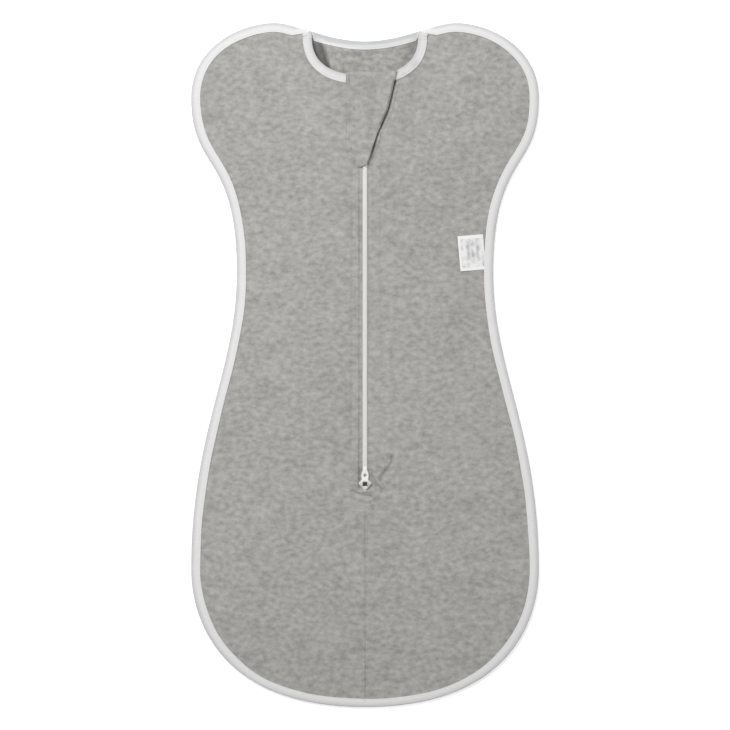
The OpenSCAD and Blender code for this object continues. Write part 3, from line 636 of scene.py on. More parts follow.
# %% Edge binding
around = evenly(np.concatenate([edge[:0:-1] * [-1, 1], edge]), 1340)
neck_side = np.concatenate([neckline, [[48, 293]]])
to_neck = distance_to(neck_side[::4], right_half(around))
wander = 0.16 * np.sin(lengths(around) / 23.0) + 0.12 * np.sin(lengths(around) / 8.7 + 1)
edge_width = np.minimum(8.3 + wander - 0.9 * smooth(-255, -285, around[:, 1]), 1.4 + 0.5 * to_neck)


def on_front(gap):
    """A height function: this gap above the front cloth."""
    return lambda xy: front_height(xy) + gap


def on_table(height):
    """A height function: the same height everywhere."""
    return lambda xy: height + 0 * xy[..., 0]


edge_tape, edge_tops, edge_area = folded_tape(
    "edge_binding_tape", around, edge_width, on_front(0.12), on_table(0.62), bend=1.5, pad=0.32)
edge_stitches = stitch_line("edge_binding_stitches", edge_tops)
print("edge binding:", round(lengths(around)[-1]), "mm long, area m2", round(edge_area, 4))

# %% [markdown]
# ## Bindings round the neck
# The back neckline has its own short tape. Each half of the front neckline has one that starts at the
# zip, where its lower leg also passes under the zip tape, and ends over the shoulder.

# %% Neck bindings
back_neck = evenly(np.concatenate([bezier(BACK_NECK_RUN, np.linspace(0, 1, 60)),
                                   bezier(BACK_NECK_RUN, np.linspace(1, 0, 60))[1:] * [-1, 1]]), 160)
run = lengths(back_neck)
back_neck_width = 7.6 * np.minimum(1, 0.35 + run / 9) * np.minimum(1, 0.35 + run[::-1] / 9)
back_neck_tape, back_neck_tops, back_neck_area = folded_tape(
    "back_neck_tape", back_neck, back_neck_width,
    lambda xy: back_height(xy) + 0.1, on_table(0.6), bend=1.0, pad=0.3)
back_neck_stitches = stitch_line("back_neck_stitches", back_neck_tops)


def neck_upper(xy):
    """Neck binding lies on the front cloth, and over the edge binding near the shoulder."""
    to_edge = distance_to(edge[::6], right_half(xy).reshape(-1, 2)).reshape(xy.shape[:-1])
    return front_height(xy) + 0.12 + 0.85 * (1 - smooth(5.5, 10.5, to_edge))


def neck_lower(xy):
    """Its lower leg lies under the zip tape beside the zip, and under the cloth elsewhere."""
    free = smooth(13.8, 20, np.abs(xy[..., 0]))
    return TAPE_LOW - 0.1 + free * (front_height(xy) - CLOTH - 0.12 - TAPE_LOW + 0.1)


neck_tapes, neck_stitches, neck_area = {}, {}, {}
for side, sign in (("left", -1), ("right", 1)):
    start = neck_at(np.linspace(angle_at(5.35), 90, 200))
    line = evenly(np.concatenate([start, [[46.9, 290.4], [47.6, 292.4]]]), 170)
    line = line[::-1] if sign > 0 else line * [-1, 1]
    neck_tapes[side], tops, neck_area[side] = folded_tape(
        f"{side}_neck_tape", line, 8.0, neck_upper, neck_lower, bend=1.0, pad=0.28)
    neck_stitches[side] = stitch_line(f"{side}_neck_stitches", tops)
print("neck bindings: area m2", round(back_neck_area, 4), {k: round(a, 4) for k, a in neck_area.items()})

# %% [markdown]
# ## Zip tape and coil
# A coil zip is a thick thread wound into a spiral and woven to the edge of a tape. Each half is one
# long tube following a flattened spiral, and the two halves mesh: the loops of one lie between the
# loops of the other. The Screw modifier winds round loops only, so the spiral is written out here.
# The tape is a plain ribbon, mostly hidden under the cloth, and gives way a little where cloth lies on it.

# %% Zip
COIL_PITCH, COIL_MID = 1.3, 13.0


def coil_half(name, sign, per_loop=12, around_wire=6, wire=0.36):
    """A flattened spiral along y: across it swings from the tape to just past the middle, and up and down
    by half the coil's thickness. The tube's section is set square to the spiral's own direction."""
    loops = (ZIP_TOP_Y - COIL_LOW_Y) / COIL_PITCH
    a = np.linspace(0, 2 * np.pi * loops, int(loops * per_loop))
    x = sign * (0.80 - 0.92 * np.cos(a))
    z = COIL_MID + 0.42 * np.sin(a)
    offset = COIL_PITCH / 2 if sign > 0 else 0
    y = COIL_LOW_Y + (ZIP_TOP_Y - COIL_LOW_Y) * a / a[-1] + offset * smooth(0, 6, a)
    line = np.stack([x, y, z], axis=1)
    run = np.gradient(line, axis=0)
    run /= np.linalg.norm(run, axis=1)[:, None]
    across = np.cross(run, [0, 1, 0])
    across /= np.linalg.norm(across, axis=1)[:, None]
    other = np.cross(run, across)
    t = np.linspace(0, 2 * np.pi, around_wire, endpoint=False)[None, :, None]
    ring = line[:, None] + wire * (across[:, None] * np.cos(t) + other[:, None] * np.sin(t))
    quads = grid_quads(len(line), around_wire, around=True)
    cap = np.array([[0, 1, 2, 3], [0, 3, 4, 5]])
    quads = np.concatenate([quads, cap, cap[:, ::-1] + (len(line) - 1) * around_wire])
    made = quad_mesh(name, ring.reshape(-1, 3), quads)
    face_up(made)
    return made


coils, tapes, tape_area = {}, {}, {}
for side, sign in (("left", -1), ("right", 1)):
    coils[side] = coil_half(f"{side}_coil_spiral", sign)
    rows, columns = np.linspace(-116, 250.6, 420), np.linspace(0.5, 13.0, 42)
    plan = np.stack(np.meshgrid(sign * columns, rows), axis=-1)
    top = with_height(plan, TAPE_TOP - 0.35 * smooth(4.6, 6.6, np.abs(plan[..., 0])))
    tapes[side] = cloth_shell(f"{side}_zip_tape_woven", top, top - [0, 0, TAPE_TOP - TAPE_LOW], uv=plan)
    tape_area[side] = area_of(top)
print("coil:", round((ZIP_TOP_Y - COIL_LOW_Y) / COIL_PITCH), "loops a side,",
      len(coils["left"].data.polygons), "faces")

# %% [markdown]
# ## Topstitching beside the zip
# The cloth is stitched down to the tape in a line on each side. The line is hardly seen, as the
# thread matches the cloth, but it presses a small groove.

# %% Topstitching
STITCH_X = 13.3
zip_stitches = {}
for side, sign in (("left", -1), ("right", 1)):
    rows = np.linspace(-112, 243, 240)
    line = np.stack([sign * STITCH_X + 0 * rows, rows], axis=1)
    line = with_height(line, front_height(line) - 0.06)
    zip_stitches[side] = spindles(f"{side}_zip_topstitch", line, wide=0.3, high=0.16)
print("topstitch faces a side:", len(zip_stitches["left"].data.polygons))

# %% [markdown]
# ## Zip guard
# A single layer of jersey is sewn to the left lapel and folds over the upper slider, so that it can't
# touch the baby's chin. It drapes over the slider's bridge and hovers above the cloth at its free
# edge. The strip that holds it is a separate piece: it stays when the guard is lifted. A simulation
# would drape it too, but it has to clear the slider at every pose, so its underside is a formula.

# %% Guard
GUARD_X, SEAM_X, GUARD_LOW_Y, GUARD_TOP_Y = -14.7, -16.6, 172.6, 256.4
SLIDER_CLEAR_Z = 17.14
right_edge = np.array(GUARD_EDGE, float)[::-1]


def left_edge(y):
    """The guard's left side: along the seam, then in to the tip."""
    return np.interp(y, [GUARD_LOW_Y, 173.4, 176, 182, 196, 208], [-6.5, -7.6, -8.6, -10.2, -13.2, GUARD_X])


def guard_low(xy):
    """Underside of the guard: just above the front, lifted over the neck bindings and over the slider."""
    x, y = xy[..., 0], xy[..., 1]
    near = front_height(np.stack([np.where(np.abs(x) < 10, np.sign(x + 0.01) * 10, x), y], axis=-1))
    base = near + 0.18 + 0.62 * smooth(-14, -9, x) + 0.55 * smooth(241, 247, y) + 0.3 * smooth(170, 200, y)
    free = np.interp(y, right_edge[:, 1], right_edge[:, 0])
    base += 1.5 * smooth(9, 1.0, free - x) * smooth(171, 177, y)
    held = smooth(0.2, 5, x - left_edge(y))
    on_binding = 0.55 * smooth(243, 246.5, y)
    base = near + 0.06 + on_binding + (base - near - 0.06 - on_binding) * held
    over = smooth(186, 199, y) * (1 - 0.35 * smooth(252, 258, y))
    return base + (SLIDER_CLEAR_Z - base) * over * np.exp(-np.abs(x / 6.6) ** 2.6)


tip_rows = np.linspace(0, 1, 16)[:-1] ** 1.7 * 14 + GUARD_LOW_Y
rows = np.concatenate([tip_rows, np.linspace(186.6, GUARD_TOP_Y, 90)])
free = np.interp(rows, right_edge[:, 1], right_edge[:, 0])
left = left_edge(rows)
share = np.linspace(0, 1, 60)
plan = np.stack([left[:, None] + (free - left)[:, None] * share, rows[:, None] + 0 * share], axis=-1)
plan[..., 1] += 1.2 * smooth(239, GUARD_TOP_Y, plan[..., 1]) * smooth(4, 27, plan[..., 0])
low_z = guard_low(plan)
edge_in = np.minimum((1 - share) * (free - left)[:, None], np.minimum(rows[:, None] - 172.4, 3))
roll = 0.32 * np.exp(-((edge_in - 1.3) / 0.7) ** 2) - 0.3 * np.exp(-(edge_in / 0.5) ** 2)
thick = 0.3 + 0.5 * smooth(0.2, 4, plan[..., 0] - left[:, None])
drape = 0.85 * np.exp(-((plan[..., 0] + 10.8) / 1.7) ** 2) - 0.45 * np.exp(-((plan[..., 0] + 7) / 1.7) ** 2)
low_z = low_z + drape * smooth(186, 200, plan[..., 1]) * (1 - smooth(236, 252, plan[..., 1]))
low_z = np.maximum(low_z, front_height(plan) + 0.1)
top = with_height(plan, low_z + thick + roll)
under = np.minimum(low_z + 0.3 * np.maximum(roll, 0), top[..., 2] - 0.35)
guard = cloth_shell("zip_guard_cloth", top, with_height(plan, under))

# %% The strip that holds the guard
rows = np.linspace(197, 255.8, 90)
plan = np.stack(np.meshgrid(np.linspace(SEAM_X, -14.0, 11), rows), axis=-1)
base = front_height(plan) + 1.05 * smooth(243.5, 246.5, plan[..., 1])
rise = smooth(SEAM_X, -15.0, plan[..., 0])
top = with_height(plan, base + 0.12 + 0.5 * rise - 0.3 * np.exp(-((plan[..., 0] + 15.8) / 0.5) ** 2))
guard_seam = cloth_shell("zip_guard_seam", top, with_height(plan, base + 0.03 + 0.05 * rise))
line = np.stack([-15.8 + 0 * rows, rows], axis=1)
line = with_height(line, front_height(line) + 0.11 + 1.05 * smooth(243.5, 246.5, rows))
guard_stitches = spindles("zip_guard_stitches", line, wide=0.26, high=0.18)
print("seam strip faces:", len(guard_seam.data.polygons))

# %% [markdown]
# ## Care label
# A short white ribbon, folded once and caught in the side seam, so it stands a little off the cloth.
# It is a folded tape, so the same builder makes it. Its print is left out: faint bars stand where
# lines of washing advice would be.

# %% Care label
label_fold = evenly(np.array([(80.9, 112.6), (83.6, 81.8)]), 60)


def label_face(gap):
    """A height function: the gap above the front, and more towards the label's free end."""
    return lambda xy: front_height(xy) + gap + 0.5 * smooth(96, 88, xy[..., 0])


label, _, label_area = folded_tape(
    "care_label_ribbon", label_fold, 22.6, label_face(0.36), label_face(0.32),
    thick=0.16, bend=0.5, pad=0.0, groove=0.0, legs=30)
print("label area m2", round(label_area, 5))

# %% [markdown]
# ## Centre seam
# Below the zip the two fronts meet in a seam. Its allowance, an overlocked strip, lies behind it. Its
# outer rims are a little wavy, as the overlock thread pulls them. It is a plain shell under the front.

# %% Centre seam allowance
rows = np.linspace(-290, -120.5, 120)
plan = np.stack(np.meshgrid(np.linspace(-4, 4, 9), rows), axis=-1)
base = front_height(np.stack([0 * plan[..., 0], plan[..., 1]], axis=-1)) - CLOTH - 0.25
wave = 0.12 * np.sin(rows[:, None] / 2.3) * (plan[..., 0] / 4) ** 2
top = with_height(plan, base + wave - 0.15)
allowance = cloth_shell("centre_seam_allowance", top, top - [0, 0, 1.0])

# %% [markdown]
# ## Sliders and pulls
# A slider is two small plates joined by a post between the two halves of the zip, with rims that
# guide the tape and, on top, two thin cheeks that hold the pull by its pins. A Bevel on a cube would
# do for a block. These plates have curved outlines, so each is an outline raised in rings, and its
# edges come out round, as on cast and lacquered metal.

# %% Plan outlines
def outline_ring(points, n):
    """A closed plan outline as n points, evenly spaced."""
    closed = np.concatenate([points, points[:1]])
    return evenly(np.asarray(closed, float), n + 1)[:-1]


def rounded(points, radius, n=96):
    """A polygon with every corner rounded, by averaging its evenly spaced outline over the radius."""
    ring = outline_ring(np.asarray(points, float), 8 * n)
    step = lengths(np.concatenate([ring, ring[:1]]))[-1] / len(ring)
    k = max(1, int(radius / step))
    kernel = np.exp(-np.linspace(-1.6, 1.6, 2 * k + 1) ** 2)
    wide = np.concatenate([ring[-k:], ring, ring[:k]])
    soft = np.stack([np.convolve(wide[:, c], kernel / kernel.sum(), mode="valid") for c in (0, 1)], axis=1)
    return soft[::8]


def inwards(ring, by):
    """The ring moved inwards, square to itself."""
    run = np.roll(ring, -1, axis=0) - np.roll(ring, 1, axis=0)
    run /= np.linalg.norm(run, axis=1)[:, None]
    turn = np.stack([-run[:, 1], run[:, 0]], axis=1)
    area = (ring[:, 0] * np.roll(ring[:, 1], -1) - np.roll(ring[:, 0], -1) * ring[:, 1]).sum()
    return ring + turn * np.sign(area) * by


square = rounded([(-1, -1), (1, -1), (1, 1), (-1, 1)], 0.4)
print("a rounded square has", len(square), "points")


# %% Plates
def edge_rings(ring, low, high, edge_r, sign=1):
    """The side of a plate as six rings: in, out over the lower edge, up, and in over the upper edge."""
    steps = [(edge_r, 0), (edge_r * 0.3, 0.3 * edge_r), (0, edge_r)]
    up = [with_height(inwards(ring, sign * d), low + h + 0 * ring[:, 0]) for d, h in steps]
    return up + [with_height(inwards(ring, sign * d), high - h + 0 * ring[:, 0]) for d, h in steps[::-1]]


def pebble(ring, low, high, edge_r=0.3):
    """Points and faces of a plate with rounded edges: rings in plan at rising heights, closed in the
    middle."""
    rings = edge_rings(ring, low, high, edge_r)
    middle = ring.mean(0)
    for share in (0.66, 0.33, 0.02):
        nearer = middle + (inwards(ring, edge_r) - middle) * share
        rings.append(with_height(nearer, high + 0 * ring[:, 0]))
        rings.insert(0, with_height(nearer, low + 0 * ring[:, 0]))
    n = len(ring)
    quads = [grid_quads(len(rings), n, around=True)]
    k = np.arange(1, n // 2 - 1)
    cap = np.stack([k - 1, k, n - 1 - k, n - k], axis=1)
    for base, flip in ((0, 1), ((len(rings) - 1) * n, -1)):
        quads.append(cap[:, ::flip] % n + base)
    return np.concatenate(rings), np.concatenate(quads)


def holed(outer, hole, low, high, edge_r=0.25):
    """Points and faces of a flat plate with one hole: the section goes up the outside, across the top
    to the hole, down the hole and back. Outer and hole are rings with as many points, in step."""
    rings = edge_rings(outer, low, high, edge_r) + edge_rings(hole, low, high, edge_r, -1)[::-1]
    n, last = len(outer), (len(rings) - 1) * len(outer)
    k, after = np.arange(n), (np.arange(n) + 1) % n
    underside = np.stack([k + last, after + last, after, k], axis=1)
    return np.concatenate(rings), np.concatenate([grid_quads(len(rings), n, around=True), underside])


def gather(name, parts):
    """One object from several closed parts, each with its faces turned outwards."""
    made = []
    for k, (points, quads) in enumerate(parts):
        o = quad_mesh(f"{name}_{k}", points, quads)
        weld(o, 0.000005)
        made.append(o)
    for o in bpy.context.selected_objects:
        o.select_set(False)
    for o in made:
        o.select_set(True)
    bpy.context.view_layer.objects.active = made[0]
    if len(made) > 1:
        bpy.ops.object.join()
    made[0].name = made[0].data.name = name
    made[0].select_set(False)
    return made[0]


print("a plate from that square has", len(pebble(square, 0, 1)[1]), "faces")

# %% [markdown]
# ## The two sliders
# A slider is built nose down with its pull's pivot at the origin, then moved to its end of the zip, and
# turned round for the upper one. Its top plate has a small window between the cheeks, and the lock
# sits in it, coloured near black as painted shadow for the dark inside of the slider. Building one and
# placing it twice keeps the two alike, as they are on a real zip.

# %% Sizes of a slider and its pull
PLATE = [(-0.8, -5.1), (0.8, -5.1), (5.6, 0.3), (5.6, 1.3), (3.0, 3.6), (2.8, 5), (-2.8, 5), (-3.0, 3.6),
         (-5.6, 1.3), (-5.6, 0.3)]
TAB = [(-3.1, 2.1), (3.1, 2.1), (2.9, 4.6), (3.2, 7.0), (3.0, 9.4), (1.9, 12.4), (1.7, 15.5), (-1.7, 15.5),
       (-1.9, 12.4), (-3.0, 9.4), (-3.2, 7.0), (-2.9, 4.6)]
# The low and high face of each part, in millimetres above the table.
TOP_PLATE, LOW_PLATE, RIM = (14.02, 14.9), (10.6, 11.48), (12.42, 14.2)
POST, LOCK = (11.4, 14.1), (13.9, 14.06)
CHEEK_X, PIN_X, ARM_X, PIVOT_Z = 2.1, 2.4, 2.72, 15.5
HOLE_Y, HOLE_R, PIN_R = 7.6, 1.35, 0.3
print("pull, from its pivot to its tip:", TAB[6][1], "mm")


# %% Parts of a slider
def box_ring(x0, x1, y0, y1, radius):
    """The outline of a rectangle with rounded corners."""
    return rounded([(x0, y0), (x1, y0), (x1, y1), (x0, y1)], radius)


def circle(radius, turn):
    """Points of a circle at these angles in degrees."""
    turn = np.radians(turn)
    return np.stack([radius * np.cos(turn), radius * np.sin(turn)], axis=1)


def on_side(part):
    """Turns a part from lying to standing: its height becomes x."""
    points, quads = part
    return points[:, [2, 0, 1]], quads


def in_step(ring, middle=(0, 0)):
    """Starts a ring at the point nearest to straight right of a middle, so that two rings match."""
    turn = np.arctan2(ring[:, 1] - middle[1], ring[:, 0] - middle[0])
    return np.roll(ring, -np.argmin(np.abs(turn)), axis=0)


def slider_parts():
    """Closed parts of a slider: plates, side rims, post and the two cheeks, nose down."""
    outer = in_step(rounded(PLATE, 0.7))
    window = in_step(box_ring(-2.5, 2.5, -1.65, 1.65, 0.5))
    parts = [holed(outer, window, *TOP_PLATE, 0.28)]
    parts.append(pebble(rounded([(x * 0.88, y) for x, y in PLATE], 0.7), *LOW_PLATE, 0.28))
    for sign in (-1, 1):
        parts.append(pebble(box_ring(sign * 4.1 - 0.4, sign * 4.1 + 0.4, -0.8, 2.2, 0.2), *RIM, 0.15))
    parts.append(pebble(box_ring(-0.42, 0.42, -4.6, -3.5, 0.2), *POST, 0.08))
    for sign in (-1, 1):
        side = box_ring(-1.9, 1.9, 14.7, 16.9, 0.8)
        parts.append(on_side(pebble(side, sign * CHEEK_X - 0.14, sign * CHEEK_X + 0.14, 0.05)))
    return parts


def lock_part():
    """The lock's plate, which closes the window from below; its near-black colour is painted shadow."""
    return [pebble(box_ring(-2.6, 2.6, -1.75, 1.75, 0.2), *LOCK, 0.05)]


print("parts of a slider:", len(slider_parts()))


# %% Parts of a pull
def pull_parts():
    """Closed parts of a pull pointing to +Y: two pivot pins, two arms, and the tab with its hole."""
    parts = []
    for sign in (-1, 1):
        pin = pebble(circle(PIN_R, np.arange(0, 360, 15)), sign * PIN_X - 0.5, sign * PIN_X + 0.5, 0.05)
        points, quads = on_side(pin)
        parts.append((points + [0, 0, PIVOT_Z], quads))
    for sign in (-1, 1):
        arm = box_ring(sign * ARM_X - 0.45, sign * ARM_X + 0.45, -0.55, 3.6, 0.35)
        parts.append(pebble(arm, PIVOT_Z - 0.42, PIVOT_Z + 0.42, 0.2))
    hole = circle(HOLE_R, np.linspace(0, 360, 96, endpoint=False)) + [0, HOLE_Y]
    tab = in_step(rounded(TAB, 0.7), (0, HOLE_Y))
    parts.append(holed(tab, hole, PIVOT_Z - 0.48, PIVOT_Z + 0.48, 0.3))
    return parts


print("parts of a pull:", len(pull_parts()))


# %% Both sliders
def placed(parts, y, turned):
    """Moves parts to a pivot at (0, y), turned half round when the nose points up."""
    spin = np.array([-1, -1, 1]) if turned else np.array([1, 1, 1])
    return [(points * spin + [0, y, 0], quads) for points, quads in parts]


metal = {}
for name, y, turned in (("lower", -104.0, False), ("upper", 241.0, True)):
    metal[name + "_slider"] = gather(f"{name}_slider_body", placed(slider_parts(), y, turned))
    metal[name + "_lock"] = gather(f"{name}_slider_lock", placed(lock_part(), y, turned))
    metal[name + "_pull"] = gather(f"{name}_pull_tab", placed(pull_parts(), y, turned))
print("faces:", {name: len(piece.data.polygons) for name, piece in metal.items()})

# %% [markdown]
# ## Materials
# Every finish is worked out from the place on the piece, with no picture, so it has no seams and no
# limit of size. `Value` wraps one socket, so that a formula can be written as arithmetic and becomes
# Math nodes. `node` adds any other node.

# %% Formulas as nodes
class Value:
    """One value of a material. Sums, differences and products of values add Math nodes."""

    def __init__(self, tree, out):
        self.tree, self.out = tree, out

    def node(self, kind, settings=None, inputs=None, out=0):
        """Adds a node of a type with settings and inputs (numbers, tuples or values) and gives one output."""
        made = self.tree.nodes.new(kind)
        for key, value in (settings or {}).items():
            setattr(made, key, value)
        for key, value in (inputs or {}).items():
            if isinstance(value, Value):
                self.tree.links.new(value.out, made.inputs[key])
            else:
                made.inputs[key].default_value = value
        return Value(self.tree, made.outputs[out])

    def math(self, how, *values):
        """A Math node of one operation on values or numbers."""
        return self.node("ShaderNodeMath", {"operation": how}, dict(enumerate(values)))

    def __add__(self, other):
        return self.math("ADD", self, other)

    def __radd__(self, other):
        return self.math("ADD", other, self)

    def __sub__(self, other):
        return self.math("SUBTRACT", self, other)

    def __rsub__(self, other):
        return self.math("SUBTRACT", other, self)

    def __mul__(self, other):
        return self.math("MULTIPLY", self, other)

    def wave(self):
        """The sine of the value."""
        return self.math("SINE", self)

    def size(self):
        """The value without its sign."""
        return self.math("ABSOLUTE", self)

    def least(self, other):
        """The lower of two values."""
        return self.math("MINIMUM", self, other)

    def most(self, other):
        """The higher of two values."""
        return self.math("MAXIMUM", self, other)

    def eased(self, low, high):
        """0 below low, 1 above high, and smooth between."""
        return self.node("ShaderNodeMapRange", {"interpolation_type": "SMOOTHSTEP"},
                         {"Value": self, "From Min": low, "From Max": high, "To Min": 0.0, "To Max": 1.0})


print("a value knows:", ", ".join(word for word in vars(Value) if not word.startswith("_")))


# %% Common nodes
def new_material(name, **constants):
    """A material with a Principled surface: constants are set straight on its sockets. It gives the
    material, the surface and an empty value that nodes are added from."""
    made = bpy.data.materials.new(name)
    made.use_nodes = True
    surface = made.node_tree.nodes["Principled BSDF"]
    for key, value in constants.items():
        surface.inputs[key.replace("_", " ")].default_value = value
    start = Value(made.node_tree, None)
    return made, surface, start


def axes(start, vector, count):
    """The first axes of a vector, one value each."""
    return [start.node("ShaderNodeSeparateXYZ", None, {0: vector}, out=k) for k in range(count)]


def noise(start, x, y, z, rough=0.5, detail=2.0):
    """Noise from 0 to 1 on Object coordinates, which are metres in the shared frame; x, y and z say how
    many of its lumps lie along a metre of each axis."""
    spot = start.node("ShaderNodeTexCoord", out="Object")
    at = start.node("ShaderNodeVectorMath", {"operation": "MULTIPLY"}, {0: spot, 1: (x, y, z)})
    return start.node("ShaderNodeTexNoise", {"noise_dimensions": "3D"},
                      {"Vector": at, "Scale": 1.0, "Detail": detail, "Roughness": rough})


def mixed(start, share, a, b):
    """A colour between two colours."""
    return start.node("ShaderNodeMix", {"data_type": "RGBA"}, {0: share, 6: a, 7: b}, out=2)


def opaque(colour, level=1.0):
    """A colour with its parts multiplied by a level and kept at 1 at most, and an alpha of 1."""
    return tuple(min(1.0, c * level) for c in colour) + (1.0,)


def link(start, value, surface, key):
    """Feeds a value into a socket of the surface."""
    start.tree.links.new(value.out, surface.inputs[key])


def bump(start, surface, height, strength, distance):
    """Tilts the surface's normals as if it were raised by a height."""
    raised = start.node("ShaderNodeBump", None,
                        {"Height": height, "Strength": strength, "Distance": distance})
    link(start, raised, surface, "Normal")


print("white at a level of 0.8:", opaque((1, 1, 1), 0.8))

# %% [markdown]
# ## Heather jersey
# Heather yarn mixes pale and dark fibres. On a plain knit the darker lengths show as short level
# flecks: noise stretched along x, once about five millimetres long and four high, and once two long and
# one row high. The knit itself is a bump, as loops this fine would be millions of faces: each wale is a
# column of small V shapes, which is a wave along y whose phase rises and falls across the wale. The
# back's tuck has painted shade: its bottom is coloured darker, standing in for the shadow there.

# %% Jersey
# TUCK_SHADE_COLOUR is painted shade: the near black that the tuck's bottom is darkened towards.
HEATHER, TUCK_SHADE_COLOUR = (0.395, 0.389, 0.371), (0.075, 0.068, 0.064)
# In metres: the width of two wales, and the height of one row.
WALE, COURSE = 0.0011, 0.0008


def jersey_material(name, base=HEATHER, contrast=1.0, tuck=None):
    """Jersey of a base colour: contrast is that of its flecks, and tuck the name of an attribute that is
    1 in the bottom of a tuck, where painted shade darkens the colour towards near black."""
    made, surface, start = new_material(name, Roughness=0.95, Sheen_Weight=0.12, Sheen_Roughness=0.6)
    x, y = axes(start, start.node("ShaderNodeTexCoord", out="Object"), 2)
    fleck = noise(start, 185.0, 255.0, 255.0)
    fine = noise(start, 560.0, 1300.0, 1300.0, rough=0.6)
    broad = noise(start, 32.0, 60.0, 32.0)
    dark = (fleck - 0.5) * 2.0 * contrast + (fine - 0.5) * 0.6 * contrast + (broad - 0.5) * 0.5
    share = (dark * 0.9 + 0.5).most(0.0).least(1.0)
    colour = mixed(start, share, opaque(base, 0.74), opaque(base, 1.26))
    if tuck:
        # Painted shade: where the tuck attribute is 1, the colour is mixed towards near black, standing in
        # for the tuck's shadow.
        deep = start.node("ShaderNodeAttribute", {"attribute_name": tuck}, None, out=2)
        colour = mixed(start, deep * (0.55 + fleck * 0.3), colour, opaque(TUCK_SHADE_COLOUR))
    link(start, colour, surface, "Base Color")
    wale = (x * (2 * np.pi / WALE)).wave()
    course = ((y * (2 * np.pi / COURSE)) + wale.size() * 2.2).wave()
    bump(start, surface, wale.size() * 0.6 + course * 0.35 + fine * 0.8, 0.35, 0.00022)
    return made


jersey = jersey_material("heather_jersey")
inside_jersey = jersey_material("heather_jersey_back", contrast=1.3, tuck="tuck")
print("jersey nodes:", len(jersey.node_tree.nodes))

# %% [markdown]
# ## Binding tape
# The tape is white and finely ribbed across. Its ribs, and the shade painted into its colour towards
# the outer fold where the tape rolls away from the light, follow the lengths stored with the mesh: along
# the tape, and across it from the upper leg's end. On Object coordinates the ribs would stay level, and
# not turn with the tape round the curves.

# %% Binding
RIB, FOLD_SHADE = 1.15, (0.54, 0.55, 0.55)


def binding_material(name, fold_at=8.5, shade=(0.57, 0.58, 0.58), white=0.825):
    """White tape whose fold, at a length across it, takes on a painted shade in its colour."""
    made, surface, start = new_material(name, Roughness=0.8, Sheen_Weight=0.08)
    along, across = axes(start, start.node("ShaderNodeUVMap", {"uv_map": "Along"}), 2)
    patch = noise(start, 90.0, 90.0, 90.0)
    rib = (along * (2 * np.pi / RIB)).wave()
    # Painted shade: the colour greys towards the outer fold, where the rolled tape turns away from the light,
    # with noise patches in it.
    fold = across.eased(fold_at * 0.42, fold_at * 1.02) * (0.75 + patch * 0.5)
    face = mixed(start, (rib * 0.5 + 0.5) * 0.10, opaque((1, 1, 0.995), white), opaque((0.86,) * 3, white))
    link(start, mixed(start, (fold * 0.85).least(1.0), face, opaque(shade)), surface, "Base Color")
    bump(start, surface, rib * 0.7 + patch, 0.5, 0.0002)
    return made


binding = binding_material("binding_tape")
# The neck tapes are set greyer than the edge tape.
neck_binding = binding_material("neck_binding_tape", 8.6, FOLD_SHADE, white=0.74)
back_neck_binding = binding_material("back_neck_binding_tape", 5.6, FOLD_SHADE, white=0.80)
print("binding nodes:", len(binding.node_tree.nodes))

# %% [markdown]
# ## Thread, zip, lacquer and label
# Threads, tape and coil are plain nylon or cotton, and the sliders are white lacquer with a clear coat; the
# body's lacquer is set greyer than the pull's as painted shade.
# One builder makes them all: a colour that varies a little by fine noise, which also roughens it, as no
# real piece is one even colour. The label's bars are waves across it, broken up by noise.

# %% Small finishes
def plain_material(name, colour, roughness, grain=400.0, depth=0.0001, spread=0.06, **more):
    """One colour, varied a little by fine noise that also roughens the surface."""
    made, surface, start = new_material(name, **more)
    speck = noise(start, grain, grain, grain)
    colour = mixed(start, speck, opaque(colour, 1 - spread), opaque(colour, 1 + spread))
    link(start, colour, surface, "Base Color")
    link(start, roughness + (speck - 0.5) * 0.12, surface, "Roughness")
    bump(start, surface, speck, 0.2, depth)
    return made


white_thread = plain_material("white_thread", (0.80, 0.80, 0.79), 0.75, 900.0)
grey_thread = plain_material("grey_thread", (0.36, 0.36, 0.345), 0.85, 900.0)
tape_white = plain_material("zip_tape_woven", (0.78, 0.78, 0.77), 0.85, 1200.0)
coil_white = plain_material("zip_coil_nylon", (0.96, 0.96, 0.935), 0.38, 300.0, 0.00003, 0.03)
clear_coat = {"Coat_Weight": 0.4, "Coat_Roughness": 0.18}
# Painted shade: the slider body's lacquer is greyer than the pull's, standing in for the shade the body sits
# in.
shaded_body_lacquer = plain_material("slider_lacquer_painted_shade", (0.68, 0.68, 0.66), 0.32, 160.0, 0.00003, 0.02, **clear_coat)
lacquer_pull = plain_material("pull_lacquer", (0.86, 0.86, 0.84), 0.3, 160.0, 0.00003, 0.02, **clear_coat)
# Painted shadow: the lock is near black, standing in for the shade inside the slider's window.
lock_shadow_black = plain_material("lock_shadow", (0.035, 0.035, 0.035), 0.55, 300.0, 0.00002, 0.1)
stop_white = plain_material("stop_plastic", (0.80, 0.80, 0.79), 0.4, 300.0, 0.00003, 0.03)
print("materials so far, with the packed model's own:", len(bpy.data.materials))

# %% Ribbon of the care label
RIBBON_WHITE, BAR_GREY, BAR_GAP = (0.92, 0.92, 0.915), (0.44, 0.44, 0.45), 4.6


